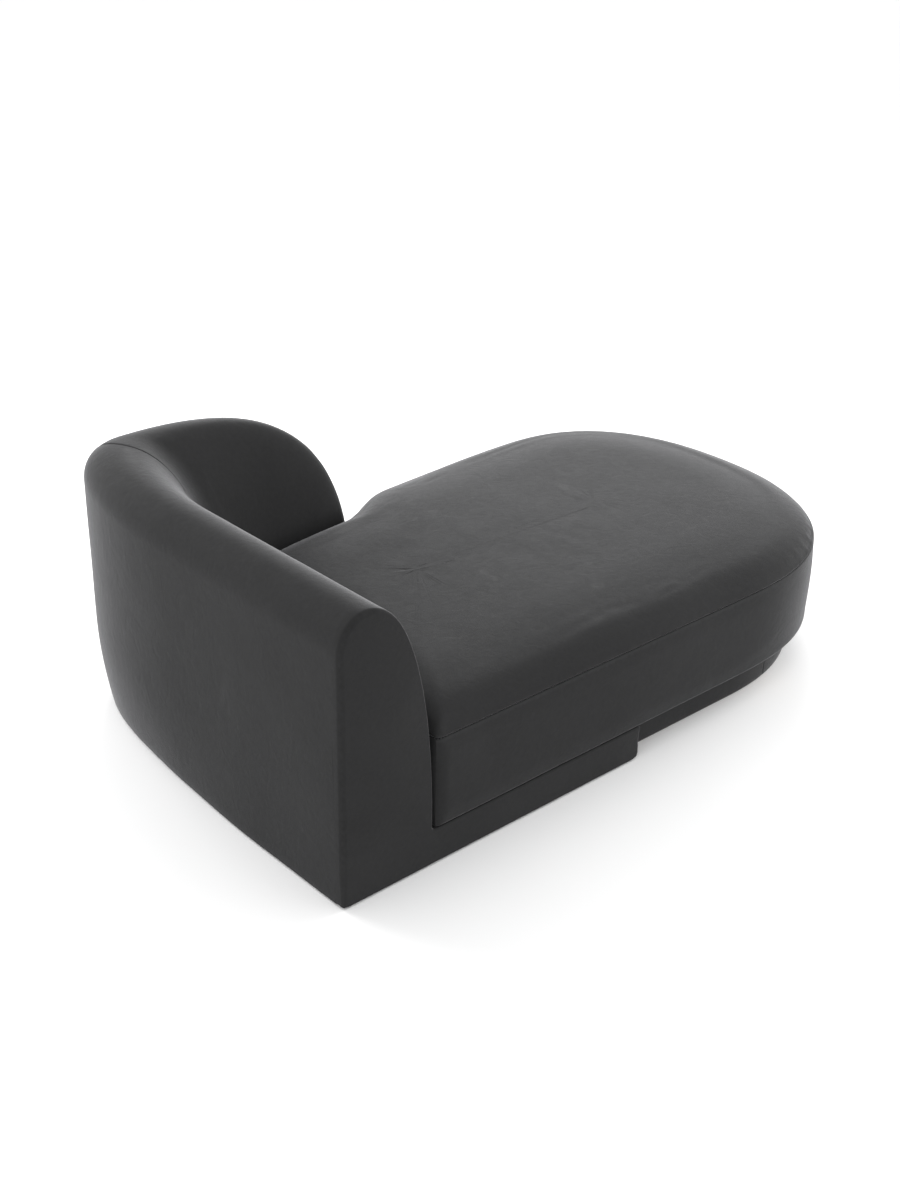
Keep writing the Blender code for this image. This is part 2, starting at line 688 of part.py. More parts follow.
def crown_rings(outline, seam, rise, shares=(0.0, 0.02, 0.06, 0.13, 0.24, 0.40)):
    """Rings of the crowned top, each a share of the way from the edge to the middle line."""
    rings = []
    for share in shares:
        ring = []
        for u, v in outline:
            centre = spine_point(u, v)
            here = Vector((u, v)).lerp(centre, share)
            run = min(1.0, (Vector((u, v)) - here).length / CROWN_RUN)
            ring.append(place(here.x, here.y, seam + rise * math.sqrt(1 - (1 - run) ** 2)))
        rings.append(ring)
    flat = []
    for u, v in outline:
        centre = spine_point(u, v)
        reach = (Vector((u, v)) - centre).length
        here = Vector((u, v)).lerp(centre, min(0.95, CROWN_RUN * 1.02 / reach))
        flat.append(place(here.x, here.y, seam + rise))
    return rings + [flat]


def seat_frame(finishes):
    """Board, rails and webbing that carry the seat's foam."""
    ply, timber, black = finishes["ply"], finishes["timber"], finishes["black"]
    outline = inset_outline(seat_outline(), SEAT_HEM)
    prism("seat_board", outline, FRAME_BASE, FRAME_BASE + DECK_BOARD, ply)
    inset = FABRIC + EASE * 2
    back = OUTER_ROLL + INNER_RUN + SEAT_BACK_GAP + inset
    levels = (RAIL_BASE, RAIL_TOP)
    nose_line = inset_outline(foot_outline(), inset, closed=False)
    near_end = LENGTH - NEAR_LOBE - CUT_GAP
    beam("seat_rail_near", (back + TIMBER, near_end), (inset, inset + TIMBER), levels, timber)
    wall("seat_rail_nose", nose_line, TIMBER, *levels, ply)
    start = LENGTH - FAR_LOBE - CUT_GAP
    reach = ARM_TIP + SHOULDER_RUN + CUT_GAP * 2
    spots = [start + (reach - start) * i / 3 for i in range(4)]
    outside = [(u, far_side(u) - inset) for u in spots]
    wall("seat_rail_far", outside, TIMBER, *levels, ply, [(u, v - TIMBER) for u, v in outside])
    wall("seat_rail_arm", inset_outline(arm_side_points(), inset, closed=False), TIMBER, *levels, ply)
    turn = WIDTH - CORNER_REACH - CUT_GAP
    beam("seat_rail_back", (back, back + TIMBER - TOUCH), (inset + SEAT_CORNER, turn), levels, timber)
    webbing(back, inset, black)


def foot_edge(v):
    """Edge of the foot along u, at a distance v from the flat side."""
    if v < NEAR_LOBE_WIDTH:
        run, across = NEAR_LOBE, 1 - v / NEAR_LOBE_WIDTH
    else:
        run, across = FAR_LOBE, (v - NEAR_LOBE_WIDTH) / (SEAT_WIDTH - NEAR_LOBE_WIDTH)
    return LENGTH - run + run * (1 - across ** LOBE_POWER) ** (1 / LOBE_POWER)


def far_edge(u):
    """Plan position of the seat's far edge at u, beside the arm or past it."""
    points = arm_side_points()
    if u >= points[0][0]:
        return far_side(u)
    for (u1, v1), (u0, v0) in zip(points, points[1:]):
        if u0 <= u <= u1:
            return v0 + (v1 - v0) * (u - u0) / (u1 - u0)
    return points[-1][1]


def webbing(back, inset, black):
    """Elastic straps across the rails, with two lengthwise on top of them."""
    low = RAIL_TOP + TOUCH
    count = 7
    first = back + TIMBER * 4
    last = LENGTH - NEAR_LOBE + WEB_WIDTH * 0.6
    pitch = (last - first) / (count - 1)
    for i in range(count):
        u = first + pitch * i
        far = min(far_edge(u), far_edge(u + WEB_WIDTH)) - inset - CUT_GAP
        edge = inset + CUT_GAP
        beam(f"web_cross_{i + 1}", (u, u + WEB_WIDTH), (edge, far), (low, low + WEB), black)
    high = low + WEB + TOUCH
    for name, share in (("web_long_near", 0.42), ("web_long_far", 0.88)):
        v = (WIDTH - CORNER_REACH) * share
        end = min(foot_edge(v - WEB_WIDTH / 2), foot_edge(v + WEB_WIDTH / 2)) - inset * 2 - CUT_GAP
        beam(name, (back, end), (v - WEB_WIDTH / 2, v + WEB_WIDTH / 2), (high, high + WEB), black)


def seat_cushion(finishes):
    """Foam core, softer topper, boxing and crowned top panel."""
    outline = seat_outline()
    inner = inset_outline(outline, FABRIC + EASE)
    prism("seat_foam_core", inner, FOAM_BASE, FOAM_SPLIT, finishes["foam"])
    rim = [place(u, v, FOAM_SPLIT + TOUCH) for u, v in inner]
    crown = crown_rings(inner, SEAT_SEAM - FABRIC - EASE, CROWN_RISE)
    loft("seat_foam_topper", [rim] + crown, finishes["wadding"])
    band("seat_boxing", outline, FABRIC, BASE_TOP + SEAT_LIFT, SEAT_SEAM - FABRIC - TOUCH, finishes["fabric"])
    top = crown_rings(outline, SEAT_SEAM, CROWN_RISE)
    under = crown_rings(outline, SEAT_SEAM - FABRIC, CROWN_RISE)
    cover_solid("seat_top_cover", top, under, finishes["fabric"])


def cover_solid(name, top, under, finish):
    """Sheet between an upper and a lower run of rings."""
    builder = bmesh.new()
    sides = []
    for rings in (top, under):
        rows = [[builder.verts.new(point) for point in ring] for ring in rings]
        count = len(rows[0])
        for first, second in zip(rows, rows[1:]):
            for i in range(count):
                k = (i + 1) % count
                builder.faces.new((first[i], first[k], second[k], second[i]))
        builder.faces.new(rows[-1])
        sides.append(rows[0])
    upper, lower = sides
    for i in range(len(upper)):
        k = (i + 1) % len(upper)
        builder.faces.new((lower[i], lower[k], upper[k], upper[i]))
    return add_object(name, builder, finish, smooth=True)


# ---------------------------------------------------------------- assembly

def main():
    clear_scene()
    finishes = {
        "fabric": material("velvet", FABRIC_COLOUR, 0.85),
        "ply": material("plywood", PLY_COLOUR, 0.7),
        "timber": material("timber", TIMBER_COLOUR, 0.7),
        "foam": material("foam", FOAM_COLOUR, 0.9),
        "wadding": material("wadding", WADDING_COLOUR, 0.95),
        "black": material("black_cloth", BLACK_COLOUR, 0.9),
        "plastic": material("plastic", BLACK_COLOUR, 0.5),
    }
    side_panel(finishes)
    shell_layers(finishes)
    arm_nose(finishes)
    base_boards(finishes)
    crest(finishes)
    ribs(finishes)
    base_frame(finishes)
    rail_end_cover(finishes)
    plinth(finishes)
    dust_covers(finishes)
    glides(finishes)
    seat_frame(finishes)
    seat_cushion(finishes)


main()
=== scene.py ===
"""Looks of a one-armed velvet daybed: covers, seams, stitching, floor, light and camera.

Laid out as a Blender add-on and run as a script.  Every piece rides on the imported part's one body,
and its place comes from the part's own nodes.  Plan points are (u, v): u runs from the outside of
the back towards the foot, v from the flat joining side towards the arm.
"""

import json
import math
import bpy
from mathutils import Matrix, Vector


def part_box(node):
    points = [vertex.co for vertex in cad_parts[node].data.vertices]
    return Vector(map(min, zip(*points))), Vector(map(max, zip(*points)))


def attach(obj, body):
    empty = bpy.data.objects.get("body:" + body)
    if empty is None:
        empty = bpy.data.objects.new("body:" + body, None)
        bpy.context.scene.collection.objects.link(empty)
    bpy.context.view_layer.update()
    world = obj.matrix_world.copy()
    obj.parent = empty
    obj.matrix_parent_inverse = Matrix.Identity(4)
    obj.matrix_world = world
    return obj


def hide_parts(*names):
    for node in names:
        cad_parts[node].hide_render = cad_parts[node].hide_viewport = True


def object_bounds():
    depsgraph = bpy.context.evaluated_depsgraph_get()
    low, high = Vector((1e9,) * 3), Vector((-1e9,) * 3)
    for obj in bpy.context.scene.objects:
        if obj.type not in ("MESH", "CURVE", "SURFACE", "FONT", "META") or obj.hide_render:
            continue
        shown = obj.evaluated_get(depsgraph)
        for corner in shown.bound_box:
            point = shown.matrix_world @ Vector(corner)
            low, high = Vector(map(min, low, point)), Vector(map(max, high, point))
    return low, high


bl_info = {
    "name": "Velvet daybed",
    "version": (1, 0, 0),
    "blender": (4, 5, 0),
    "location": "3D View > Sidebar > Daybed",
    "description": "Builds the covers, seams, finishes and studio of a one-armed velvet daybed",
    "category": "Object",
}

import bmesh
import bpy
from bpy.props import FloatProperty, FloatVectorProperty, IntProperty, PointerProperty
from mathutils import Matrix, Vector, noise

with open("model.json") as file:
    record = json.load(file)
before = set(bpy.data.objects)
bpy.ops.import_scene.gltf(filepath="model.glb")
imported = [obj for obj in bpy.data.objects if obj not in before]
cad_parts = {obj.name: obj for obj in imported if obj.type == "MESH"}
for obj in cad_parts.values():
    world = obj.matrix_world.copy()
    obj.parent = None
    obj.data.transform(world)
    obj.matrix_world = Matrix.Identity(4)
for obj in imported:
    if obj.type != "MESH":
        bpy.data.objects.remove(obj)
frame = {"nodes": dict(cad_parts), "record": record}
part_low, part_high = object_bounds()

# ---------------------------------------------------------------- where the part's pieces are

BODY = "root"
PANEL_LOW, PANEL_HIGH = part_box("side_panel_cover")
BOXING_LOW, BOXING_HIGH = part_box("seat_boxing")
TOP_LOW, TOP_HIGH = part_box("seat_top_cover")
SHEET = 0.0015                                # thickness of the part's covers
FLAT_SIDE = PANEL_LOW.y
LENGTH = part_high.x - part_low.x
WIDTH = part_high.y - FLAT_SIDE
HEIGHT = part_high.z
FLOOR_GAP = PANEL_LOW.z
BASE_TOP = BOXING_LOW.z - 0.002
BASE_DEPTH = PANEL_HIGH.x - part_low.x
SEAT_SEAM = TOP_LOW.z + SHEET
CROWN_RISE = TOP_HIGH.z - SEAT_SEAM
SEAT_BACK = BOXING_LOW.x - part_low.x
SEAT_WIDTH = BOXING_HIGH.y - FLAT_SIDE
ARM_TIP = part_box("outer_cover")[1].x - part_low.x
PLINTH_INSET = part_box("plinth_cover")[0].y - FLAT_SIDE

# Shape of the back and arm shell
CORNER_RUN = 0.171
CORNER_REACH = 0.560
CORNER_POWER = 2.1
ARM_SWEEP = 0.095
ARM_FALL_START = 0.176
ARM_FALL_POWER = 2.94
ARM_TIP_THICKNESS = 0.30
NOSE_RADIUS = 0.045
OUTER_ROLL = 0.080
OUTER_ROLL_RISE = 0.090
ROLL_POWER = 2.1
INNER_RUN = 0.180
INNER_POWER = 2.2
INNER_CORNER_END = 0.600
INNER_CORNER_PULL = 0.62
INNER_FOOT = OUTER_ROLL + INNER_RUN
PANEL_DEPTH = 0.028           # the side panel's cover turns in this far, and the back's covers start there
RAIL_END_DEPTH = PLINTH_INSET - 0.0003
SEAM_INSIDE = 0.12            # the seam between the two covers lies this far past the ridge on the back
SEAM_OUTSIDE = 0.10           # and this far short of it on the arm
SEAM_CROSSES = (34.0, 56.0)   # it changes sides while the section turns through these degrees
WALL_TAPER = 0.027
TAPER_HEIGHT = 0.25

# Shape of the seat
SEAT_BACK_GAP = 0.010
SEAT_CORNER = 0.012
CROWN_RUN = 0.265
NEAR_LOBE = 0.606
NEAR_LOBE_WIDTH = 0.590
FAR_LOBE = 0.459
LOBE_POWER = 2.33
FAR_SIDE_DROP = 0.040
ARM_SHOULDER = 0.070
SHOULDER_RUN = 0.150
SHOULDER_PULL = 0.42


def length_setting(name, description, default, low, high):
    """Length setting, in metres."""
    return FloatProperty(name=name, description=description, default=default, min=low, max=high, unit="LENGTH")


def colour_setting(name, description, default):
    """Linear colour setting."""
    return FloatVectorProperty(
        name=name, description=description, subtype="COLOR", size=3, min=0.0, max=1.0, default=default)


class DaybedSizes(bpy.types.PropertyGroup):
    """Sizes of the sewn details."""

    edge_radius: length_setting(
        "Edge radius", "Rounding of the side panel where it meets the outside of the back", 0.014, 0.004, 0.027)
    rim_radius: length_setting(
        "Rim radius", "Rounding of the side panel along the inside of the back", 0.0045, 0.002, 0.015)
    seam_depth: length_setting("Seam depth", "How far a sewn seam is drawn in", 0.005, 0.001, 0.010)
    seam_width: length_setting("Seam width", "Half width of the valley along a seam", 0.0035, 0.001, 0.010)
    stitch_length: length_setting("Stitch length", "Length of one stitch", 0.0055, 0.002, 0.012)
    stitch_pitch: length_setting("Stitch pitch", "Distance from one stitch to the next", 0.0085, 0.003, 0.020)
    thread: length_setting("Thread", "Diameter of the sewing thread", 0.0009, 0.0004, 0.002)
    mesh_pitch: length_setting("Mesh pitch", "Distance between points along the covers", 0.012, 0.004, 0.030)
    swell: length_setting("Swell", "Most that the filling may push a cover out", 0.004, 0.0, 0.012)
    swell_steps: IntProperty(
        name="Swell steps", description="Steps of the cloth simulation", default=10, min=1, max=40)


class DaybedColours(bpy.types.PropertyGroup):
    """Colours of the finishes."""

    velvet: colour_setting("Velvet", "Charcoal pile", (0.017, 0.017, 0.0175))
    thread: colour_setting("Thread", "Sewing thread", (0.030, 0.030, 0.031))
    cloth: colour_setting("Dust cloth", "Woven cloth under the base", (0.012, 0.012, 0.013))
    glide: colour_setting("Glides", "Moulded glides", (0.015, 0.015, 0.016))
    plywood: colour_setting("Plywood", "Boards of the frame", (0.56, 0.40, 0.24))
    timber: colour_setting("Timber", "Rails of the frame", (0.60, 0.43, 0.25))
    filling: colour_setting("Filling", "Foam and wadding", (0.78, 0.74, 0.60))
    floor: colour_setting("Floor", "Studio floor", (0.95, 0.95, 0.95))


# ---------------------------------------------------------------- plan of the shell

def place(u, v, z):
    """Plan point and height to the part's frame."""
    return Vector((part_low.x + u, FLAT_SIDE + v, z))


def superellipse(angle, power):
    """Unit superellipse point at an angle from 0 to a quarter turn."""
    return max(0.0, math.cos(angle)) ** (2 / power), max(0.0, math.sin(angle)) ** (2 / power)


def arm_line(u):
    """Outer face of the arm in plan."""
    return WIDTH - ARM_SWEEP * ((u - CORNER_RUN) / (ARM_TIP - CORNER_RUN)) ** 2


def arm_inner_line(u):
    """Foot of the arm's inner face in plan."""
    share = (u - CORNER_RUN) / (ARM_TIP - CORNER_RUN)
    return arm_line(u) - INNER_FOOT * (1 - (1 - ARM_TIP_THICKNESS) * share ** 1.5)


def inside_shell(u, v):
    """True where a plan point lies within the shell's outer face."""
    turn = WIDTH - CORNER_REACH
    if u < 0.0:
        return False
    if u < CORNER_RUN and v > turn:
        across, along = (CORNER_RUN - u) / CORNER_RUN, (v - turn) / CORNER_REACH
        return across ** CORNER_POWER + along ** CORNER_POWER < 1.0
    return v < (arm_line(u) if u > CORNER_RUN else WIDTH)


def bezier(a, b, c, d, steps):
    """Points on a cubic curve, without its first point."""
    points = []
    for i in range(1, steps + 1):
        t = i / steps
        w = ((1 - t) ** 3, 3 * t * (1 - t) ** 2, 3 * t * t * (1 - t), t ** 3)
        points.append(tuple(w[0] * a[k] + w[1] * b[k] + w[2] * c[k] + w[3] * d[k] for k in (0, 1)))
    return points


class Station:
    """One upright section through the shell, from its outer face to the foot of its inner face."""

    def __init__(self, foot, ahead):
        length = math.hypot(*ahead)
        self.inward = (ahead[1] / length, -ahead[0] / length)
        self.depth = self.outer_distance(foot)
        self.u = foot[0] - self.inward[0] * self.depth
        self.v = foot[1] - self.inward[1] * self.depth
        ridge = self.u + self.inward[0] * OUTER_ROLL
        on_arm = self.v > WIDTH - CORNER_REACH
        fall = max(0.0, (ridge - ARM_FALL_START) / (ARM_TIP - ARM_FALL_START)) if on_arm else 0.0
        drop = (1 - min(fall, 1.0) ** ARM_FALL_POWER) ** (1 / ARM_FALL_POWER)
        self.height = BASE_TOP + (HEIGHT - BASE_TOP) * drop
        nose = max(0.0, (foot[0] - ARM_TIP + NOSE_RADIUS) / NOSE_RADIUS) if on_arm else 0.0
        nose = math.sqrt(max(0.0, 1 - nose ** 2))
        blend = min(1.0, max(0.0, (self.v - WIDTH / 4) / (WIDTH / 2)))
        self.taper = WALL_TAPER * blend ** 2 * (3 - 2 * blend)
        outer = self.depth * OUTER_ROLL / INNER_FOOT
        self.start = (1 - nose) * self.depth / 2
        self.outer = outer * nose
        self.inner = (self.depth - outer) * nose
        self.slim = min(1.0, self.outer / 0.030)
        turned = math.degrees(math.atan2(-self.inward[1], self.inward[0]))
        crossed = min(1.0, max(0.0, (turned - SEAM_CROSSES[0]) / (SEAM_CROSSES[1] - SEAM_CROSSES[0])))
        crossed = crossed ** 2 * (3 - 2 * crossed)
        self.seam = (SEAM_INSIDE - (SEAM_INSIDE + SEAM_OUTSIDE) * crossed) * self.outer / OUTER_ROLL

    def outer_distance(self, foot):
        near, far = 0.0, 1.0
        for _ in range(36):
            middle = (near + far) / 2
            inside = inside_shell(foot[0] - self.inward[0] * middle, foot[1] - self.inward[1] * middle)
            near, far = (middle, far) if inside else (near, middle)
        return near

    def at(self, depth, z):
        return place(self.u + self.inward[0] * depth, self.v + self.inward[1] * depth, z)


def inner_foot_line(start, back_steps, corner_steps, arm_steps):
    """Foot of the inner face in plan, from the flat side round the corner to the arm's tip."""
    foot, turn, step = INNER_FOOT, WIDTH - CORNER_REACH, 0.001
    points = [(foot, start + (turn - start) * i / back_steps) for i in range(back_steps + 1)]
    end = (INNER_CORNER_END, arm_inner_line(INNER_CORNER_END))
    slope = (arm_inner_line(INNER_CORNER_END + step) - end[1]) / step
    pull = (INNER_CORNER_END - foot) * INNER_CORNER_PULL
    towards = (end[0] - pull, end[1] - pull * slope)
    points += bezier(points[-1], (foot, turn + pull), towards, end, corner_steps)
    last = ARM_TIP - NOSE_RADIUS / 400
    for i in range(1, arm_steps + 1):
        u = INNER_CORNER_END + (last - INNER_CORNER_END) * math.sin(math.pi / 2 * i / arm_steps)
        points.append((u, arm_inner_line(u)))
    return points


def shell_stations(start, fineness=1.0):
    """Close sections from the flat side round the corner to the arm's tip."""
    counts = [max(4, round(n * fineness)) for n in (60, 110, 60)]
    points = inner_foot_line(start, *counts)
    stations = []
    for i, point in enumerate(points):
        before, after = points[max(i - 1, 0)], points[min(i + 1, len(points) - 1)]
        stations.append(Station(point, (after[0] - before[0], after[1] - before[1])))
    return stations


def seam_lip(sizes, slim):
    """Rounded lip of a cover where it turns down into a seam, as (distance, drop, rim); the velvet paints the
    lip (rim 1) lighter, partly wear and partly painted highlight, and the valley's bottom (rim 1.6 and 2) with
    painted shade.
    """
    wide, deep = sizes.seam_width * slim, sizes.seam_depth * slim
    return [(wide, 0.02 * deep, 1.0), (wide * 0.55, 0.12 * deep, 1.0), (wide * 0.25, 0.38 * deep, 1.6),
            (0.0002, deep, 2.0)]


def lower_wall(station):
    """Outside of the shell from the floor to where its roll starts, as (depth, z, rim)."""
    shoulder = station.height - OUTER_ROLL_RISE * station.height / HEIGHT
    hem = 0.006 * station.slim
    points = []
    # The hem's rim lets the velvet paint the bottom edge a little lighter: partly wear, partly painted
    # highlight.
    for angle in (0.0, 0.35, 0.70, 1.0):
        turn = angle * math.pi / 2
        points.append((hem * (1 - math.sin(turn)), FLOOR_GAP + hem * (1 - math.cos(turn)), 0.6 * (1 - angle)))
    for i in range(1, 29):
        points.append((0.0, FLOOR_GAP + hem + (shoulder - FLOOR_GAP - hem) * i / 28, 0.0))
    return [(station.start + station.taper * max(0.0, 1 - z / TAPER_HEIGHT) ** 2 + depth, z, rim)
            for depth, z, rim in points]


class UpperLine:
    """Section line from the start of the outer roll over the ridge to the foot of the inner face."""

    def __init__(self, station):
        rise = OUTER_ROLL_RISE * station.height / HEIGHT
        shoulder, ridge = station.height - rise, station.start + station.outer
        base, low = BASE_TOP + SEAT_BACK_GAP, 0.10 * station.height / HEIGHT
        self.points = [(station.start, shoulder)]
        for i in range(1, 31):
            across, up = superellipse(math.pi / 2 * i / 30, ROLL_POWER)
            self.points.append((ridge - station.outer * across, shoulder + rise * up))
        top = len(self.points) - 1
        for i in range(1, 61):
            up, across = superellipse(math.pi / 2 * i / 60, INNER_POWER)
            self.points.append((ridge + station.inner * across, max(base, low + (station.height - low) * up)))
        self.reach = [0.0]
        for a, b in zip(self.points, self.points[1:]):
            self.reach.append(self.reach[-1] + math.hypot(b[0] - a[0], b[1] - a[1]))
        self.seam = self.reach[top] + station.seam
        self.end = self.reach[-1]
        self.floor = base

    def at(self, goal, sink=0.0, rim=0.0):
        """Point at a distance along the line, sunk into the padding, as (depth, z, rim)."""
        goal, k = min(self.end, max(0.0, goal)), 0
        while k < len(self.reach) - 2 and self.reach[k + 1] < goal:
            k += 1
        (d0, z0), (d1, z1) = self.points[k], self.points[k + 1]
        step = self.reach[k + 1] - self.reach[k]
        if step < 1e-9:
            return d0, z0, rim
        share = (goal - self.reach[k]) / step
        return (d0 + (d1 - d0) * share + (z1 - z0) / step * sink,
                z0 + (z1 - z0) * share - (d1 - d0) / step * sink, rim)


def foot_outline(steps=60):
    """Seat outline round the foot, from the flat side to the far side."""
    points = []
    for i in range(steps):
        along, across = superellipse(math.pi / 2 * (1 - i / steps), LOBE_POWER)
        points.append((LENGTH - NEAR_LOBE + NEAR_LOBE * along, NEAR_LOBE_WIDTH * (1 - across)))
    far = SEAT_WIDTH - NEAR_LOBE_WIDTH
    for i in range(steps + 1):
        along, across = superellipse(math.pi / 2 * i / steps, LOBE_POWER)
        points.append((LENGTH - FAR_LOBE + FAR_LOBE * along, NEAR_LOBE_WIDTH + far * across))
    return points


def far_side(u):
    """Far edge of the seat between the arm and the foot."""
    start = LENGTH - FAR_LOBE
    return SEAT_WIDTH - FAR_SIDE_DROP * ((start - u) / (start - ARM_TIP)) ** 2


def arm_side_points():
    """Seat edge from its far side in round the arm's tip and along the inner face to the back."""
    leave, reach = ARM_TIP - ARM_SHOULDER, ARM_TIP + SHOULDER_RUN
    foot = offset_line(inner_foot_line(0.0, 10, 60, 60), -SEAT_BACK_GAP, closed=False)
    inner = [(u, v) for u, v in foot if u < leave and v > WIDTH - CORNER_REACH]
    slope = (inner[-1][1] - inner[-2][1]) / (inner[-1][0] - inner[-2][0])
    pull = (reach - leave) * SHOULDER_PULL
    start, end = (reach, far_side(reach)), inner[-1]
    first, last = (start[0] - pull, far_side(start[0] - pull)), (end[0] + pull, end[1] + pull * slope)
    return [start] + bezier(start, first, last, end, 40) + inner[-2::-1]


def seat_outline():
    """Whole seat outline, anticlockwise from above, starting on the flat side by the back."""
    points = [(SEAT_BACK + SEAT_CORNER, 0.0)] + foot_outline()
    far_end, reach = LENGTH - FAR_LOBE, ARM_TIP + SHOULDER_RUN
    for i in range(1, 20):
        u = far_end + (reach - far_end) * i / 20
        points.append((u, far_side(u)))
    points += arm_side_points()
    for i in range(9):
        turn = math.pi / 2 * i / 9
        points.append((SEAT_BACK + SEAT_CORNER * (1 - math.cos(turn)), SEAT_CORNER * (1 - math.sin(turn))))
    return points


def plinth_line():
    """Plinth face from the near base rail, round the foot, to the arm's tip."""
    line = [(BASE_DEPTH, 0.0)] + foot_outline()
    reach = LENGTH - FAR_LOBE
    line += [(reach + (ARM_TIP - reach) * i / 40, far_side(reach + (ARM_TIP - reach) * i / 40))
             for i in range(1, 41)]
    return offset_line(line, PLINTH_INSET, closed=False)


def offset_line(points, inset, closed=True):
    """Move a plan line to its left by inset."""
    moved, count = [], len(points)
    for i in range(count):
        before = Vector(points[i - 1] if closed or i else points[i])
        after = Vector(points[(i + 1) % count] if closed or i < count - 1 else points[i])
        along = (after - before).normalized()
        moved.append((points[i][0] - along.y * inset, points[i][1] + along.x * inset))
    return moved


def spread(points, pitch, closed=True):
    """Evenly spaced points along a line."""
    line = [Vector(p) for p in points] + ([Vector(points[0])] if closed else [])
    reach = [0.0]
    for a, b in zip(line, line[1:]):
        reach.append(reach[-1] + (b - a).length)
    count = max(3, round(reach[-1] / pitch))
    spaced, k = [], 0
    for i in range(count if closed else count + 1):
        goal = min(reach[-1], reach[-1] * i / count)
        while k < len(reach) - 2 and reach[k + 1] < goal:
            k += 1
        step = reach[k + 1] - reach[k]
        spaced.append(line[k].lerp(line[k + 1], (goal - reach[k]) / step if step else 0.0))
    return [tuple(p) for p in spaced]


# ---------------------------------------------------------------- meshes

def skin(name, rows, rims):
    """Mesh over rows of points that each close on themselves; rims go into the attribute rim."""
    count, points, faces = len(rows[0]), [p for row in rows for p in row], []
    for row in range(len(rows) - 1):
        a, b = row * count, (row + 1) * count
        for i in range(count):
            k = (i + 1) % count
            faces.append((a + i, a + k, b + k, b + i))
    faces.append(tuple(reversed(range(count))))
    faces.append(tuple((len(rows) - 1) * count + i for i in range(count)))
    mesh = bpy.data.meshes.new(name)
    mesh.from_pydata(points, [], faces)
    mesh.attributes.new("rim", "FLOAT", "POINT").data.foreach_set("value", [r for row in rims for r in row])
    return link(name, mesh)


def link(name, mesh):
    """Put a new mesh in the scene, with its normals out and its faces smooth up to sharp edges."""
    builder = bmesh.new()
    builder.from_mesh(mesh)
    bmesh.ops.remove_doubles(builder, verts=builder.verts, dist=1e-6)
    bmesh.ops.recalc_face_normals(builder, faces=builder.faces)
    builder.to_mesh(mesh)
    builder.free()
    mesh.shade_smooth()
    mesh.set_sharp_from_angle(angle=math.radians(50))
    piece = bpy.data.objects.new(name, mesh)
    bpy.context.scene.collection.objects.link(piece)
    return piece


def undulate(piece, depth, size, seed):
    """Let a cover stray gently in and out along its normals, as stretched cloth over foam does."""
    offset = Vector((seed, seed * 0.7, seed * 0.3))
    spots = [vertex.co.copy() for vertex in piece.data.vertices]
    outward = [vertex.normal.copy() for vertex in piece.data.vertices]
    moved = []
    for spot, normal in zip(spots, outward):
        here = spot / size + offset
        stray = noise.noise(here) + 0.5 * noise.noise(here * 2.1)
        moved.extend(spot + normal * stray * depth)
    piece.data.vertices.foreach_set("co", moved)
    piece.data.update()


def settle(piece, finish, slot, *nodes, fill=None):
    """Give a piece its finish and body, and hide the part's nodes it stands for."""
    piece.data.materials.clear()
    piece.data.materials.append(finish)
    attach(piece, BODY)
    if nodes:
        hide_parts(*nodes)


# ---------------------------------------------------------------- finishes

class Number:
    """A value socket that adds Math nodes when it is used in an expression."""

    def __init__(self, tree, socket):
        self.tree, self.socket = tree, socket

    def maths(self, operation, first, second):
        node = self.tree.nodes.new("ShaderNodeMath")
        node.operation = operation
        for slot, value in zip(node.inputs, (first, second)):
            if isinstance(value, Number):
                self.tree.links.new(value.socket, slot)
            else:
                slot.default_value = value
        return Number(self.tree, node.outputs[0])

    def __add__(self, other):
        return self.maths("ADD", self, other)

    def __radd__(self, other):
        return self.maths("ADD", other, self)

    def __sub__(self, other):
        return self.maths("SUBTRACT", self, other)

    def __rsub__(self, other):
        return self.maths("SUBTRACT", other, self)

    def __mul__(self, other):
        return self.maths("MULTIPLY", self, other)

    def __rmul__(self, other):
        return self.maths("MULTIPLY", other, self)

    def __pow__(self, other):
        return self.maths("POWER", self, other)


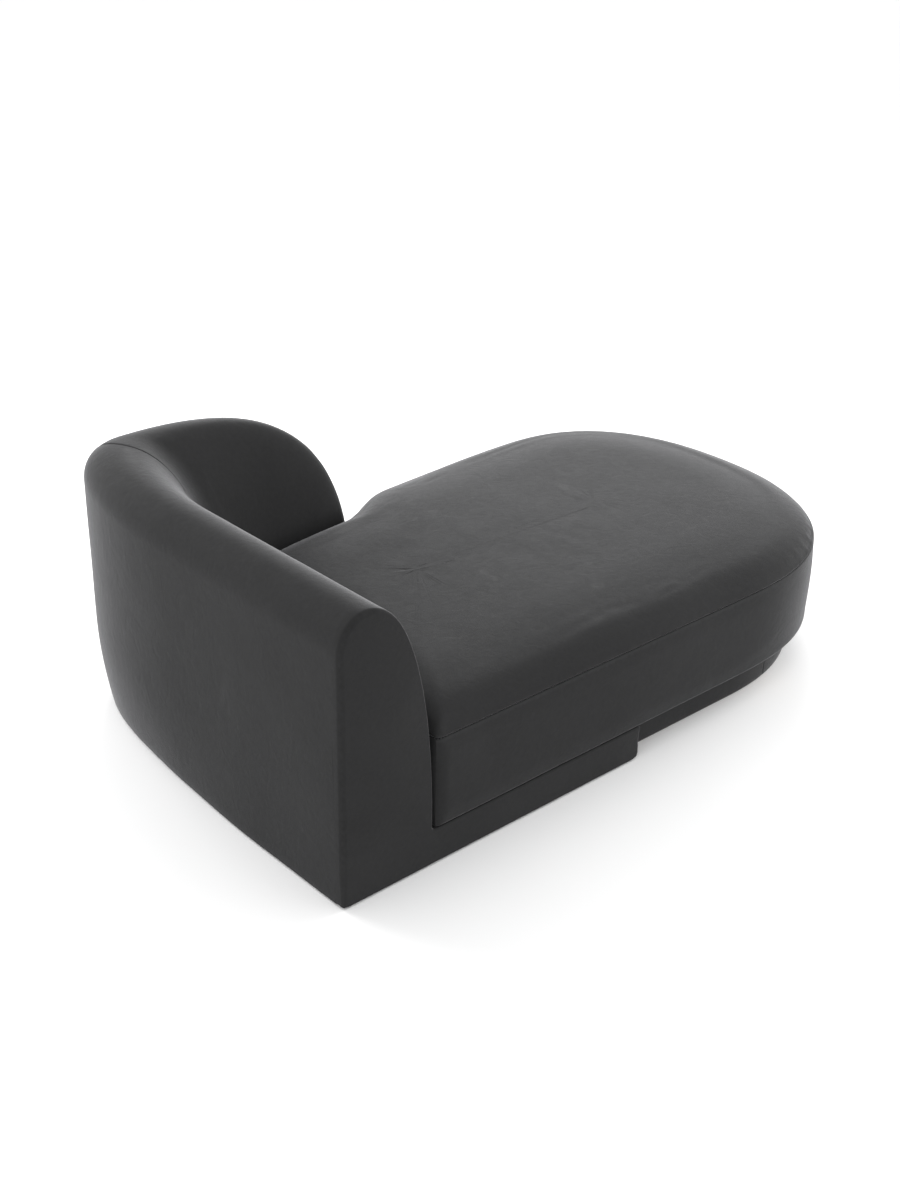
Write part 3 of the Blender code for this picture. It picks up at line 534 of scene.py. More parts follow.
class Finish:
    """A material and the tools to wire its nodes."""

    def __init__(self, name, colour, roughness, sheen=0.0):
        self.material = bpy.data.materials.new(name)
        self.material.use_nodes = True
        self.material.diffuse_color = (*colour, 1.0)
        self.tree = self.material.node_tree
        self.shader = self.tree.nodes["Principled BSDF"]
        self.shader.inputs["Roughness"].default_value = roughness
        self.shader.inputs["Sheen Weight"].default_value = sheen
        self.place = self.node("ShaderNodeTexCoord").outputs["Object"]

    def node(self, kind, settings=(), sockets=()):
        """Add a node: its settings first, then the values or links of its sockets."""
        made = self.tree.nodes.new(kind)
        for key, value in dict(settings).items():
            if key == "stops":
                for element, (spot, shade) in zip(made.color_ramp.elements, value):
                    element.position = spot
                    element.color = (shade, shade, shade, 1.0)
            else:
                setattr(made, key, value)
        for key, value in dict(sockets).items():
            self.feed(made.inputs[key], value)
        return made

    def feed(self, socket, value):
        if isinstance(value, Number):
            value = value.socket
        if isinstance(value, bpy.types.NodeSocket):
            self.tree.links.new(value, socket)
        else:
            socket.default_value = value

    def number(self, socket):
        return Number(self.tree, socket)

    def noise(self, scale, detail=2.0, stretch=(1.0, 1.0, 1.0), distortion=0.0):
        """Soft noise from 0 to 1 over the object's own coordinates."""
        spot = self.node("ShaderNodeMapping", sockets={"Vector": self.place, "Scale": stretch})
        made = self.node("ShaderNodeTexNoise", sockets={
            "Vector": spot.outputs[0], "Scale": scale, "Detail": detail, "Distortion": distortion})
        return self.number(made.outputs[0])

    def ramp(self, value, *stops):
        made = self.node("ShaderNodeValToRGB", {"stops": stops}, {"Fac": value})
        return self.number(made.outputs[0])

    def attribute(self, name):
        return self.number(self.node("ShaderNodeAttribute", {"attribute_name": name}).outputs["Fac"])

    def mix(self, share, first, second):
        """Blend two colours, each a tuple or a socket."""
        made = self.node("ShaderNodeMix", {"data_type": "RGBA"})
        self.feed(made.inputs[0], share)
        for socket, value in ((made.inputs[6], first), (made.inputs[7], second)):
            self.feed(socket, (*value, 1.0) if isinstance(value, tuple) else value)
        return made.outputs[2]

    def colour(self, value):
        self.feed(self.shader.inputs["Base Color"], value)

    def roughness(self, value):
        self.feed(self.shader.inputs["Roughness"], value)

    def bump(self, height, distance, strength=1.0):
        made = self.node("ShaderNodeBump", sockets={
            "Height": height, "Distance": distance, "Strength": strength})
        self.feed(self.shader.inputs["Normal"], made.outputs[0])


def scaled(colour, factor):
    """A colour times a factor, kept within 1."""
    return tuple(min(1.0, c * factor) for c in colour)


def velvet_finish(name, colour, brush, painted_lift=1.0):
    """Cut-pile velvet: fine pile, brushed patches, faint drag marks, rounded edges and seam lips painted
    lighter (partly wear, partly painted highlight), and painted shade at the bottom of each seam valley.
    """
    # The lift factor lightens the whole colour; the plinth's copy uses it as painted light against the shade of
    # its recess.
    base = scaled(colour, painted_lift)
    finish = Finish(name, base, 0.85, sheen=0.50)
    finish.shader.inputs["Sheen Roughness"].default_value = 0.30
    finish.shader.inputs["Sheen Tint"].default_value = (0.62, 0.62, 0.64, 1.0)
    finish.shader.inputs["Specular IOR Level"].default_value = 0.22
    patches = finish.noise(3.2, 3.0, brush, 0.8)
    strokes = finish.noise(26.0, 2.0, tuple(0.35 + 0.65 * b for b in brush), 1.5)
    pile = finish.noise(620.0, 2.0)
    ground = finish.noise(90.0, 3.0)
    marks = finish.ramp(finish.noise(9.0, 4.0, (1.0, 1.0, 0.22), 0.6), (0.66, 0.0), (0.78, 1.0))
    rim = finish.attribute("rim")
    shade = 0.35 * patches + 0.25 * strokes + 0.22 * ground + 0.18 * pile
    nap = finish.ramp(shade, (0.36, 0.0), (0.64, 1.0))
    colour_now = finish.mix(nap, scaled(base, 0.80), scaled(base, 1.22))
    colour_now = finish.mix(marks * 0.30, colour_now, scaled(base, 1.55))
    # Rounded edges, hems and seam lips (rim) are painted up to 1.3 times lighter in speckles: partly edge wear,
    # partly painted highlight.
    wear_and_highlight = finish.ramp(rim * ground * 1.9, (0.35, 0.0), (1.0, 1.0))
    colour_now = finish.mix(wear_and_highlight, colour_now, scaled(base, 1.30))
    # Painted shade: where rim passes 1.24, at the bottom of a seam valley, the velvet is painted down to a
    # quarter of its colour.
    seam = finish.ramp(rim * 0.5, (0.62, 0.0), (0.85, 1.0))
    colour_now = finish.mix(seam, colour_now, scaled(base, 0.25))
    finish.colour(colour_now)
    finish.roughness(0.74 + 0.20 * strokes - 0.10 * marks)
    finish.bump(0.55 * pile + 0.30 * ground + 0.9 * strokes, 0.0011, 0.55)
    return finish.material


def thread_finish(colour):
    """Twisted polyester thread."""
    finish = Finish("sewing_thread", tuple(colour), 0.45, sheen=0.1)
    twist = finish.noise(1500.0, 1.0)
    finish.colour(finish.mix(twist, scaled(colour, 0.7), scaled(colour, 1.3)))
    finish.roughness(0.38 + 0.2 * twist)
    finish.bump(twist, 0.0002, 0.6)
    return finish.material


def woven_finish(name, colour, threads):
    """Plain woven black cloth or webbing."""
    finish = Finish(name, tuple(colour), 0.9, sheen=0.15)
    waves = []
    for direction in ("X", "Y"):
        wave = finish.node("ShaderNodeTexWave", {"bands_direction": direction}, {
            "Vector": finish.place, "Scale": threads, "Distortion": 0.4, "Detail": 1.0})
        waves.append(finish.number(wave.outputs["Fac"]))
    weave = waves[0] * waves[1] + 0.4 * finish.noise(240.0, 2.0)
    dust = finish.noise(7.0, 4.0)
    finish.colour(finish.mix(0.7 * weave + 0.3 * dust, scaled(colour, 0.6), scaled(colour, 2.0)))
    finish.roughness(0.8 + 0.15 * dust)
    finish.bump(weave, 0.0006, 0.7)
    return finish.material


def wood_finish(name, colour, stretch, layers):
    """Sawn wood with grain along its length; layers adds the lines of glued veneers."""
    finish = Finish(name, tuple(colour), 0.7)
    grain = finish.noise(18.0, 6.0, stretch, 0.6)
    pores = finish.noise(160.0, 3.0, stretch)
    wave = finish.node("ShaderNodeTexWave", {"bands_direction": "Z"}, {
        "Vector": finish.place, "Scale": layers, "Distortion": 0.3})
    lines = finish.ramp(finish.number(wave.outputs["Fac"]), (0.42, 0.0), (0.62, 1.0))
    tone = 0.6 * grain + 0.25 * pores + 0.15 * lines
    tone = finish.ramp(tone, (0.3, 0.0), (0.7, 1.0))
    finish.colour(finish.mix(tone, scaled(colour, 0.62), scaled(colour, 1.1)))
    finish.roughness(0.6 + 0.25 * pores)
    finish.bump(0.5 * grain + 0.5 * pores, 0.0006, 0.5)
    return finish.material


def filling_finish(name, colour, cells):
    """Open-cell foam or loose wadding."""
    finish = Finish(name, tuple(colour), 0.95, sheen=0.2)
    pores = finish.node("ShaderNodeTexVoronoi", sockets={"Vector": finish.place, "Scale": cells})
    cell = finish.number(pores.outputs["Distance"])
    cloud = finish.noise(12.0, 3.0)
    finish.colour(finish.mix(0.6 * cell + 0.4 * cloud, scaled(colour, 1.1), scaled(colour, 0.8)))
    finish.roughness(0.85 + 0.1 * cloud)
    finish.bump(1.0 - cell, 0.0008, 0.5)
    return finish.material


def moulded_finish(colour):
    """Moulded black glide with a fine eroded skin and scuffs underneath."""
    finish = Finish("moulded_glide", tuple(colour), 0.5)
    skin_grain = finish.noise(800.0, 2.0)
    scuffs = finish.ramp(finish.noise(120.0, 4.0, (1.0, 0.2, 1.0)), (0.55, 0.0), (0.7, 1.0))
    finish.colour(finish.mix(scuffs * 0.5, tuple(colour), scaled(colour, 4.0)))
    finish.roughness(0.42 + 0.2 * skin_grain + 0.2 * scuffs)
    finish.bump(skin_grain, 0.0002, 0.4)
    return finish.material


def studio_finish(colour):
    """Matt studio floor with a trace of unevenness."""
    finish = Finish("studio_floor", tuple(colour), 0.9)
    cloud = finish.noise(1.3, 3.0)
    finish.colour(finish.mix(cloud, scaled(colour, 0.995), scaled(colour, 1.005)))
    finish.roughness(0.85 + 0.1 * cloud)
    return finish.material


# ---------------------------------------------------------------- soft pieces

def swell(piece, sizes, pressure, held):
    """Blow a cover up a little with cloth, then keep each point within the swell of its start.

    held takes a vertex place and gives how firmly it is sewn down, from 0 to 1."""
    if sizes.swell == 0.0:
        return
    mesh = piece.data
    start = [v.co.copy() for v in mesh.vertices]
    group = piece.vertex_groups.new(name="sewn")
    firm = [held(v.co) for v in mesh.vertices]
    for i, weight in enumerate(firm):
        if weight > 0.0:
            group.add([i], weight, "REPLACE")
    cloth = piece.modifiers.new("filling", "CLOTH")
    cloth.settings.quality = 3
    cloth.settings.mass = 0.25
    cloth.settings.tension_stiffness = 18.0
    cloth.settings.compression_stiffness = 18.0
    cloth.settings.shear_stiffness = 6.0
    cloth.settings.bending_stiffness = 0.8
    cloth.settings.vertex_group_mass = "sewn"
    cloth.settings.use_pressure = True
    cloth.settings.uniform_pressure_force = pressure
    cloth.settings.effector_weights.gravity = 0.0
    cloth.collision_settings.use_collision = False
    cloth.point_cache.frame_start = 1
    cloth.point_cache.frame_end = sizes.swell_steps
    for step in range(1, sizes.swell_steps + 1):
        bpy.context.scene.frame_set(step)
    blown = piece.evaluated_get(bpy.context.evaluated_depsgraph_get())
    moved = [v.co.copy() for v in blown.data.vertices]
    piece.modifiers.remove(cloth)
    piece.vertex_groups.remove(group)
    bpy.context.scene.frame_set(1)
    for vertex, before, after, weight in zip(mesh.vertices, start, moved, firm):
        step = after - before
        limit = sizes.swell * (1 - weight)
        if step.length > limit:
            step *= limit / step.length
        vertex.co = before + step
    mesh.update()


def back_outside(sizes, finish):
    """Outside of the back, corner and arm, with its roll up to the seam."""
    rows, rims = [], []
    for station in shell_stations(PANEL_DEPTH):
        wall, line, lip = lower_wall(station), UpperLine(station), seam_lip(sizes, station.slim)
        last, pad = line.seam - lip[0][0], 0.012 * station.slim
        section = wall + [line.at(last * i / 36) for i in range(1, 37)]
        section += [line.at(line.seam - away, drop, rim) for away, drop, rim in lip]
        section += [line.at(last * i / 12, pad) for i in range(12, 0, -1)]
        section += [(wall[i][0] + pad, max(wall[i][1], FLOOR_GAP + 0.001), 0.0) for i in (31, 20, 12, 4, 0)]
        rows.append([station.at(d, z) for d, z, _ in section])
        rims.append([rim for _, _, rim in section])
    piece = skin("back_outside_cover", rows, rims)
    undulate(piece, 0.0007, 0.23, 3.0)
    settle(piece, finish, "velvet", "outer_cover", "outer_wadding", fill=0.9)


def back_inside(sizes, finish):
    """Inside of the back, corner and arm, from the seam down to the seat."""
    rows, rims = [], []
    for station in shell_stations(PANEL_DEPTH):
        line, lip = UpperLine(station), seam_lip(sizes, station.slim)
        first, pad = line.seam + lip[0][0], 0.020 * station.slim
        section = [line.at(line.seam + away, drop, rim) for away, drop, rim in reversed(lip)]
        section += [line.at(first + (line.end - first) * i / 48) for i in range(1, 49)]
        for i in range(16, -1, -1):
            depth, z, rim = line.at(first + (line.end - first) * i / 16, pad)
            section.append((depth, max(z, line.floor), rim))
        rows.append([station.at(d, z) for d, z, _ in section])
        rims.append([rim for _, _, rim in section])
    piece = skin("back_inside_cover", rows, rims)
    undulate(piece, 0.0008, 0.19, 11.0)
    settle(piece, finish, "velvet", "inner_cover", "inner_foam", "arm_nose_foam", fill=0.9)


def panel_outline(sizes):
    """Side panel seen square on, as (u, z, edge radius, depth), running up the back and round."""
    station = Station((INNER_FOOT, PANEL_DEPTH), (0.0, 1.0))
    big, small = sizes.edge_radius, sizes.rim_radius
    foot, corner = INNER_FOOT, 0.009
    deep, rail_deep = PANEL_DEPTH, RAIL_END_DEPTH
    line = []
    for i in range(7):
        turn = math.pi / 2 * i / 6
        z = FLOOR_GAP + corner * (1 - math.cos(turn))
        line.append((corner * (1 - math.sin(turn)), z, corner * 0.95, deep))
    shoulder = station.height - OUTER_ROLL_RISE
    for i in range(1, 41):
        z = FLOOR_GAP + corner + (shoulder - FLOOR_GAP - corner) * i / 40
        grown = min(1.0, (z - FLOOR_GAP - corner) / 0.08)
        line.append((0.0, z, corner * 0.95 + (big - corner * 0.95) * grown, deep))
    for i in range(1, 24):
        across, up = superellipse(math.pi / 2 * i / 24, ROLL_POWER)
        line.append((OUTER_ROLL * (1 - across), shoulder + OUTER_ROLL_RISE * up, big, deep))
    base, low = BASE_TOP + SEAT_BACK_GAP, 0.10
    for i in range(0, 61):
        up, across = superellipse(math.pi / 2 * i / 60, INNER_POWER)
        z = low + (HEIGHT - low) * up
        if z > base:
            share = min(1.0, max(0.0, i / 60 - 0.02) / 0.25)
            radius = big + (small - big) * share ** 0.6
            line.append((OUTER_ROLL + INNER_RUN * across, z, radius, deep))
    for i in range(0, 9):
        turn = math.pi / 2 * i / 8
        z = base - SEAT_BACK_GAP * math.sin(turn)
        line.append((foot + SEAT_BACK_GAP * (1 - math.cos(turn)), z, 0.005, deep))
    end, soft, toe = BASE_DEPTH, 0.006, 0.012
    start = foot + SEAT_BACK_GAP
    for i in range(1, 71):
        line.append((start + (end - soft - start) * i / 70, BASE_TOP, 0.005, deep))
    for i in range(1, 6):
        turn = math.pi / 2 * i / 5
        z = BASE_TOP - soft * (1 - math.cos(turn))
        line.append((end - soft * (1 - math.sin(turn)), z, 0.0058, rail_deep))
    for i in range(1, 12):
        z = BASE_TOP - soft + (FLOOR_GAP + toe - BASE_TOP + soft) * i / 12
        line.append((end, z, 0.0115 - 0.004 * abs(i / 6 - 1), rail_deep))
    for i in range(0, 7):
        turn = math.pi / 2 * i / 6
        z = FLOOR_GAP + toe * (1 - math.sin(turn))
        line.append((end - toe * (1 - math.cos(turn)), z, 0.010, rail_deep))
    for i in range(1, 90):
        line.append((end - toe + (corner - end + toe) * i / 90, FLOOR_GAP, 0.006, deep))
    return line


def side_panel(sizes, finish):
    """Flat joining side: the end of the back and the low rail in one padded panel."""
    outline = panel_outline(sizes)
    count = len(outline)
    normals = []
    for i in range(count):
        before, after = outline[i - 1], outline[(i + 1) % count]
        along = Vector((after[0] - before[0], after[1] - before[1])).normalized()
        normals.append(Vector((along.y, -along.x)))
    rows, rims = [], []
    for k in range(9):
        turn = math.pi / 2 * k / 8
        row = []
        for (u, z, radius, _), normal in zip(outline, normals):
            inset = radius * (1 - math.sin(turn))
            row.append(place(u + normal.x * inset, radius * (1 - math.cos(turn)), z + normal.y * inset))
        rows.append(row)
        # rim peaks halfway round the rounded edge, which the velvet paints lighter: partly wear, partly painted
        # highlight.
        rims.append([0.5 * math.sin(2 * turn)] * count)
    rows.append([place(u, deep, z) for u, z, _, deep in outline])
    rims.append([0.0] * count)
    piece = skin("side_panel_upholstery", rows, rims)
    settle(piece, finish, "velvet", "side_panel_cover", "side_panel_pad", "rail_end_cover", fill=0.7)


def seat_rings(sizes, outline):
    """Rings of the seat from under its edge, up the boxing, over the seam and across the crown."""
    seat = [Vector(p) for p in outline]
    normals = []
    for i, _ in enumerate(seat):
        along = (seat[(i + 1) % len(seat)] - seat[i - 1]).normalized()
        normals.append(Vector((-along.y, along.x)))
    centres = [spine_point(p) for p in seat]
    rings, rims = [], []

    full = [min(1.0, max(0.0, (p.x - BASE_DEPTH) / 0.5)) ** 1.5 * min(1.0, p.y / 0.25) for p in seat]

    def ring(inset, z, rim=0.0, bulge=0.0):
        rings.append([place(p.x + n.x * (inset - bulge * f), p.y + n.y * (inset - bulge * f), z)
                      for p, n, f in zip(seat, normals, full)])
        rims.append([rim] * len(seat))

    def inward(distance, z, rim=0.0):
        moved = [p + (c - p).normalized() * min(distance, (c - p).length * 0.96)
                 for p, c in zip(seat, centres)]
        rings.append([place(p.x, p.y, z) for p in moved])
        rims.append([rim] * len(seat))

    under = BASE_TOP + 0.0001
    for distance in (0.30, 0.20, 0.12, 0.06, 0.03, 0.016):
        inward(distance, under)
    hem = 0.008
    # The hem's rim of 0.4 lets the velvet paint the cushion's lower edge a little lighter: partly wear, partly
    # painted highlight.
    for k in range(5):
        turn = math.pi / 2 * k / 4
        ring(hem * (1 - math.sin(turn)), under + 0.0015 + hem * (1 - math.cos(turn)), 0.4)
    deep, wide = sizes.seam_depth, sizes.seam_width
    low, high = under + 0.0015 + hem, SEAT_SEAM - wide * 1.6
    for i in range(1, 17):
        share = i / 17
        ring(-0.0012 * math.sin(math.pi * share) - 0.0016 * share ** 6, low + (high - low) * share,
             bulge=0.0075 * math.sin(math.pi * share ** 1.6))
    for away, drop, rim in seam_lip(sizes, 1.0):
        ring(drop * 0.62 - 0.0012 * (1 - drop / deep), SEAT_SEAM - away * 1.3, rim)
    for away, drop, rim in reversed(seam_lip(sizes, 1.0)):
        ring(drop * 0.62 + 0.0002, SEAT_SEAM + away * 1.3, rim)
    first = math.asin(wide * 1.6 / CROWN_RISE)
    for i in range(1, 29):
        turn = first + (math.pi / 2 - first) * i / 28
        inward(CROWN_RUN * (1 - math.cos(turn)), SEAT_SEAM + CROWN_RISE * math.sin(turn))
    for share in (0.12, 0.24, 0.36, 0.48, 0.60, 0.72, 0.84, 0.94):
        moved = []
        for p, c in zip(seat, centres):
            reach = (c - p).length
            distance = CROWN_RUN + (reach - CROWN_RUN) * share
            moved.append(p + (c - p) / reach * distance)
        rings.append([place(p.x, p.y, SEAT_SEAM + CROWN_RISE) for p in moved])
        rims.append([0.0] * len(seat))
    return rings, rims


def spine_point(point):
    """Closest point on the seat's middle line, towards which the crown rises."""
    start = Vector((SEAT_BACK + SEAT_WIDTH * 0.38, SEAT_WIDTH * 0.5))
    along = Vector((LENGTH - NEAR_LOBE, SEAT_WIDTH * 0.505)) - start
    share = (point - start).dot(along) / along.length_squared
    return start + along * min(1.0, max(0.0, share))


def seat_cushion(sizes, finish):
    """Seat: boxing and crowned top panel, sewn together and drawn over the foam."""
    outline = spread(seat_outline(), sizes.mesh_pitch)
    rings, rims = seat_rings(sizes, outline)
    piece = skin("seat_cushion", rings, rims)

    def held(place_now):
        if place_now.z < BASE_TOP + 0.012:
            return 1.0
        flat = min(1.0, max(0.0, (place_now.z - SEAT_SEAM) / CROWN_RISE - 0.75) / 0.20)
        return max(0.80 * flat, 1 - abs(place_now.z - SEAT_SEAM) / 0.012)

    swell(piece, sizes, 3.0, held)
    undulate(piece, 0.0006, 0.21, 5.0)
    settle(piece, finish, "velvet", "seat_boxing", "seat_top_cover", "seat_foam_core", "seat_foam_topper",
           fill=0.9)


def seam_stitches(sizes, finish):
    """Stitches that lie in the valley between the boxing and the top panel."""
    line = spread(seat_outline(), sizes.stitch_pitch)
    half, thick = sizes.stitch_length / 2, sizes.thread / 2
    points, faces = [], []
    for i, spot in enumerate(line):
        before, after = Vector(line[i - 1]), Vector(line[(i + 1) % len(line)])
        along = (after - before).normalized()
        out = Vector((along.y, -along.x))
        start = len(points)
        for shift, size in ((-1.0, 0.35), (-0.55, 1.0), (0.55, 1.0), (1.0, 0.35)):
            centre = Vector(spot) + along * half * shift + out * (-0.0016 + 0.0009 * size)
            for side, rise in ((1, 0), (0.5, 0.87), (-0.5, 0.87), (-1, 0), (-0.5, -0.87), (0.5, -0.87)):
                across = centre + out * thick * size * side
                points.append(place(across.x, across.y, SEAT_SEAM + thick * size * rise))
        for row in range(3):
            for k in range(6):
                a, b = start + row * 6 + k, start + row * 6 + (k + 1) % 6
                faces.append((a, b, b + 6, a + 6))
        faces.append(tuple(start + k for k in range(5, -1, -1)))
        faces.append(tuple(start + 18 + k for k in range(6)))
    mesh = bpy.data.meshes.new("seat_seam_stitches")
    mesh.from_pydata(points, [], faces)
    settle(link("seat_seam_stitches", mesh), finish, "velvet")


def plinth_cover(finish):
    """Cover of the recessed plinth, joined with two narrow upright seams near the foot."""
    line = [Vector(p) for p in spread(plinth_line(), 0.006, closed=False)]
    reach = [0.0]
    for a, b in zip(line, line[1:]):
        reach.append(reach[-1] + (b - a).length)
    seams = [reach[-1] * share for share in (0.215, 0.300)]
    spots = sorted(set(reach + [s + d for s in seams for d in (-0.003, -0.0015, 0.0, 0.0015, 0.003)]))
    path, k = [], 0
    for goal in spots:
        while k < len(reach) - 2 and reach[k + 1] < goal:
            k += 1
        path.append(tuple(line[k].lerp(line[k + 1], (goal - reach[k]) / (reach[k + 1] - reach[k]))))
    depths = [0.0014 * sum(math.exp(-((spot - s) / 0.0016) ** 2) for s in seams) for spot in spots]
    top, hem = BASE_TOP - 0.0006, 0.004
    section = [(hem, FLOOR_GAP), (hem * 0.3, FLOOR_GAP + hem * 0.3), (0.0, FLOOR_GAP + hem)]
    section += [(-0.0010 * math.sin(math.pi * i / 8), FLOOR_GAP + hem + (top - FLOOR_GAP - hem) * i / 8)
                for i in range(1, 9)]
    section += [(0.0025, top), (0.0025, FLOOR_GAP + hem)]
    offsets = {}
    for inset, _ in section:
        offsets[inset] = offset_line(path, inset, closed=False)
    rows, rims = [], []
    for i, depth in enumerate(depths):
        row = []
        for n, (inset, z) in enumerate(section):
            spot = Vector(offsets[inset][i])
            inner = Vector(offsets[0.0025][i])
            draw = depth / 0.0025 if n < len(section) - 2 else 0.0
            spot = spot.lerp(inner, min(0.9, draw))
            row.append(place(max(spot.x, BASE_DEPTH + 0.0005) if i < 3 else spot.x, spot.y, z))
        rows.append(row)
        # rim marks the two seams, which the velvet paints lighter in speckles.
        rims.append([min(1.0, depth / 0.0014)] * len(section))
    piece = skin("plinth_upholstery", rows, rims)
    settle(piece, finish, "velvet", "plinth_cover", fill=0.3)


# ---------------------------------------------------------------- studio

def aim(thing, place_at, target):
    thing.location = place_at
    thing.rotation_euler = (Vector(target) - Vector(place_at)).to_track_quat("-Z", "Y").to_euler()


def soft_light(name, place_at, target, size, power):
    lamp = bpy.data.lights.new(name, "AREA")
    lamp.shape = "RECTANGLE"
    lamp.size, lamp.size_y = size
    lamp.energy = power
    thing = bpy.data.objects.new(name, lamp)
    bpy.context.scene.collection.objects.link(thing)
    aim(thing, place_at, target)


def studio_camera():
    """Long view from above the flat side's back corner."""
    camera = bpy.data.cameras.new("studio_camera")
    camera.lens = 50.43
    camera.sensor_width = 36.0
    thing = bpy.data.objects.new("studio_camera", camera)
    bpy.context.scene.collection.objects.link(thing)
    yaw, pitch, roll = math.radians(47.79), math.radians(27.55), math.radians(-1.01)
    ahead = Vector((math.cos(yaw) * math.cos(pitch), math.sin(yaw) * math.cos(pitch), -math.sin(pitch)))
    right = Vector((math.sin(yaw), -math.cos(yaw), 0.0))
    down = ahead.cross(right)
    across = right * math.cos(roll) + down * math.sin(roll)
    along = down * math.cos(roll) - right * math.sin(roll)
    turn = Matrix((across, -along, -ahead)).transposed().to_4x4()
    turn.translation = (-2.8075, -2.943, 2.324)
    thing.matrix_world = turn
    bpy.context.scene.camera = thing


def studio_floor(colours):
    """Wide pale floor that curves up far behind the object."""
    span, rise, bend = 60.0, 6.0, 4.0
    rows = []
    profile = [(-span, 0.0), (span - bend, 0.0)]
    profile += [(span - bend + bend * math.sin(a), bend * (1 - math.cos(a)))
                for a in (math.pi / 2 * i / 12 for i in range(1, 13))]
    profile.append((span, rise))
    for side in (-span, span):
        rows.append([Vector((side, y, z)) for y, z in profile])
    mesh = bpy.data.meshes.new("studio_floor")
    count = len(profile)
    mesh.from_pydata(rows[0] + rows[1], [], [(i, i + count, i + 1 + count, i + 1) for i in range(count - 1)])
    mesh.shade_smooth()
    floor = bpy.data.objects.new("studio_floor", mesh)
    bpy.context.scene.collection.objects.link(floor)
    turn = Matrix.Rotation(math.radians(-42.0), 4, "Z")
    mesh.transform(turn)
    mesh.materials.append(studio_finish(colours.floor))


def studio_world():
    world = bpy.data.worlds.new("studio_world")
    world.use_nodes = True
    background = world.node_tree.nodes["Background"]
    background.inputs["Color"].default_value = (1.0, 1.0, 1.0, 1.0)
    background.inputs["Strength"].default_value = 1.06
    bpy.context.scene.world = world
    bpy.context.scene.view_settings.view_transform = "Standard"


# ---------------------------------------------------------------- operators

finishes = {}


class DAYBED_OT_finishes(bpy.types.Operator):
    """Make the finishes and give the part's frame, cloth and glides theirs"""

    bl_idname = "daybed.finishes"
    bl_label = "Finishes"

    def execute(self, context):
        colours = context.scene.daybed_colours
        finishes["seat"] = velvet_finish("velvet_seat", colours.velvet, (0.8, 1.0, 1.0))
        finishes["outside"] = velvet_finish("velvet_outside", colours.velvet, (1.0, 1.0, 0.7))
        finishes["inside"] = velvet_finish("velvet_inside", colours.velvet, (1.0, 1.0, 0.6))
        finishes["panel"] = velvet_finish("velvet_panel", colours.velvet, (0.9, 1.0, 0.8))
        # The plinth's velvet is painted 1.35 times lighter than the rest: painted light in the shade of its
        # recess under the seat.
        finishes["plinth"] = velvet_finish("velvet_plinth", colours.velvet, (1.0, 1.0, 1.0), painted_lift=1.35)
        finishes["thread"] = thread_finish(colours.thread)
        woods = {"plywood": wood_finish("birch_plywood", colours.plywood, (0.25, 1.0, 1.0), 95.0),
                 "timber": wood_finish("softwood_rail", colours.timber, (0.15, 0.15, 1.0), 6.0),
                 "foam": filling_finish("cut_foam", colours.filling, 420.0),
                 "wadding": filling_finish("wadding_sheet", scaled(colours.filling, 1.1), 160.0),
                 "black_cloth": woven_finish("woven_black", colours.cloth, 120.0),
                 "plastic": moulded_finish(colours.glide),
                 "velvet": finishes["panel"]}
        slots = {entry["node"]: entry["material_slot"] for entry in frame["record"]["subparts"]}
        for name, thing in frame["nodes"].items():
            for slot in thing.material_slots:
                slot.link = "OBJECT"
                slot.material = woods[slots[name]]
        return {"FINISHED"}


class DAYBED_OT_back(bpy.types.Operator):
    """Cover the outside and the inside of the back and arm"""

    bl_idname = "daybed.back"
    bl_label = "Back and arm"

    def execute(self, context):
        back_outside(context.scene.daybed_sizes, finishes["outside"])
        back_inside(context.scene.daybed_sizes, finishes["inside"])
        return {"FINISHED"}


class DAYBED_OT_side_panel(bpy.types.Operator):
    """Make the flat joining side"""

    bl_idname = "daybed.side_panel"
    bl_label = "Side panel"

    def execute(self, context):
        side_panel(context.scene.daybed_sizes, finishes["panel"])
        return {"FINISHED"}


class DAYBED_OT_seat(bpy.types.Operator):
    """Make the seat cushion and its stitched seam"""

    bl_idname = "daybed.seat"
    bl_label = "Seat"

    def execute(self, context):
        seat_cushion(context.scene.daybed_sizes, finishes["seat"])
        seam_stitches(context.scene.daybed_sizes, finishes["thread"])
        return {"FINISHED"}


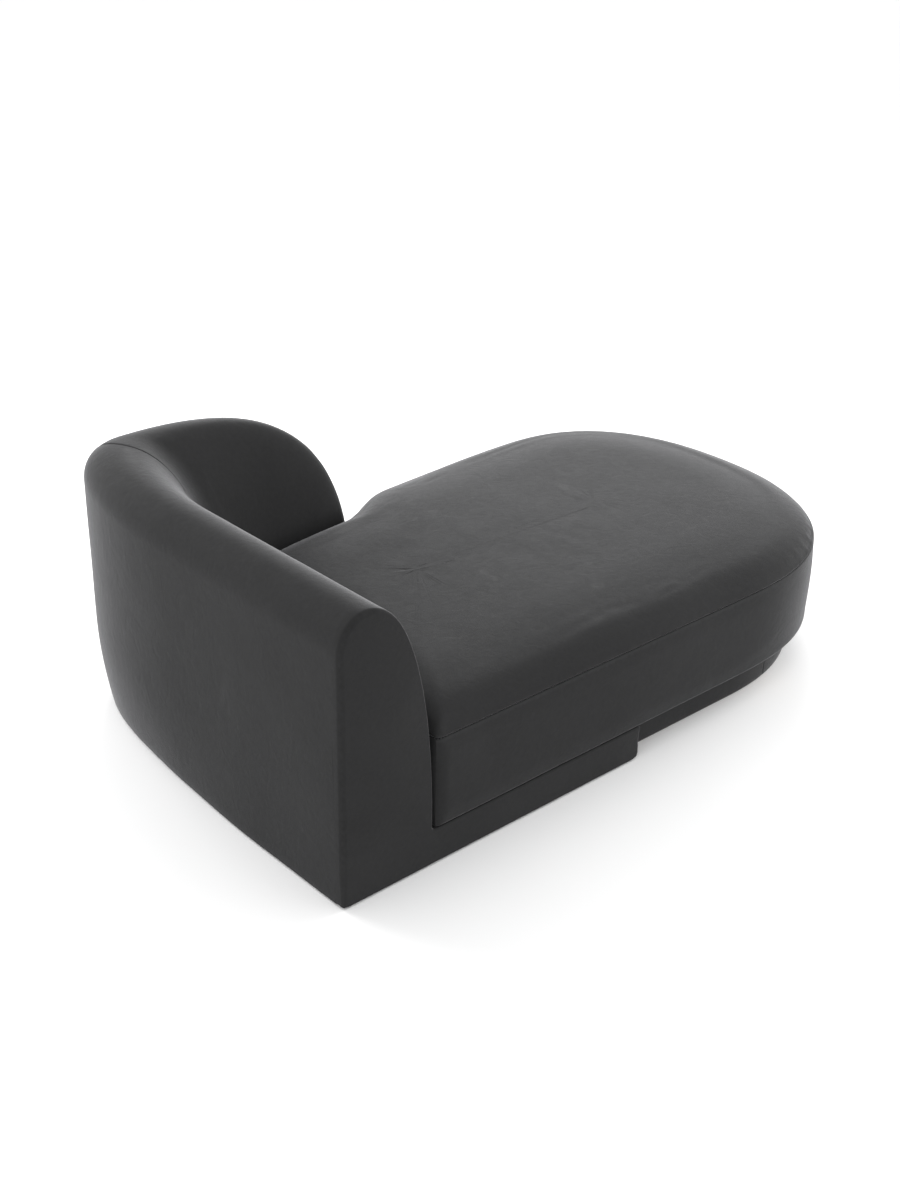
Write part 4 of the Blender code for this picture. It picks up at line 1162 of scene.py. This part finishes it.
class DAYBED_OT_plinth(bpy.types.Operator):
    """Cover the recessed plinth"""

    bl_idname = "daybed.plinth"
    bl_label = "Plinth"

    def execute(self, context):
        plinth_cover(finishes["plinth"])
        return {"FINISHED"}


class DAYBED_OT_stage(bpy.types.Operator):
    """Set up the floor, the soft lights and the camera"""

    bl_idname = "daybed.stage"
    bl_label = "Stage"

    def execute(self, context):
        studio_world()
        studio_floor(context.scene.daybed_colours)
        centre = (0.0, 0.0, 0.3)
        soft_light("key_light", (3.3, 3.5, 1.9), centre, (3.6, 1.6), 170.0)
        soft_light("foot_light", (3.3, -1.0, 1.3), centre, (2.0, 1.6), 60.0)
        soft_light("rim_light", (-1.5, 4.2, 2.4), centre, (3.0, 1.5), 135.0)
        soft_light("fill_light", (-4.0, -1.0, 2.2), centre, (2.5, 2.5), 15.0)
        studio_camera()
        return {"FINISHED"}


class DAYBED_PT_panel(bpy.types.Panel):
    """Sizes, colours and steps of the daybed"""

    bl_idname = "DAYBED_PT_panel"
    bl_label = "Velvet daybed"
    bl_space_type = "VIEW_3D"
    bl_region_type = "UI"
    bl_category = "Daybed"

    def draw(self, context):
        for group in (context.scene.daybed_sizes, context.scene.daybed_colours):
            box = self.layout.box()
            for name in group.__annotations__:
                box.prop(group, name)
        for step in STEPS:
            self.layout.operator(step.bl_idname)


STEPS = (DAYBED_OT_finishes, DAYBED_OT_back, DAYBED_OT_side_panel, DAYBED_OT_seat, DAYBED_OT_plinth,
         DAYBED_OT_stage)
CLASSES = (DaybedSizes, DaybedColours, *STEPS, DAYBED_PT_panel)


def register():
    for kind in CLASSES:
        bpy.utils.register_class(kind)
    bpy.types.Scene.daybed_sizes = PointerProperty(type=DaybedSizes)
    bpy.types.Scene.daybed_colours = PointerProperty(type=DaybedColours)


def unregister():
    del bpy.types.Scene.daybed_colours
    del bpy.types.Scene.daybed_sizes
    for kind in reversed(CLASSES):
        bpy.utils.unregister_class(kind)


def main():
    register()
    bpy.ops.object.select_all(action="DESELECT")
    for step in STEPS:
        group, name = step.bl_idname.split(".")
        getattr(getattr(bpy.ops, group), name)()


if __name__ == "__main__":
    main()
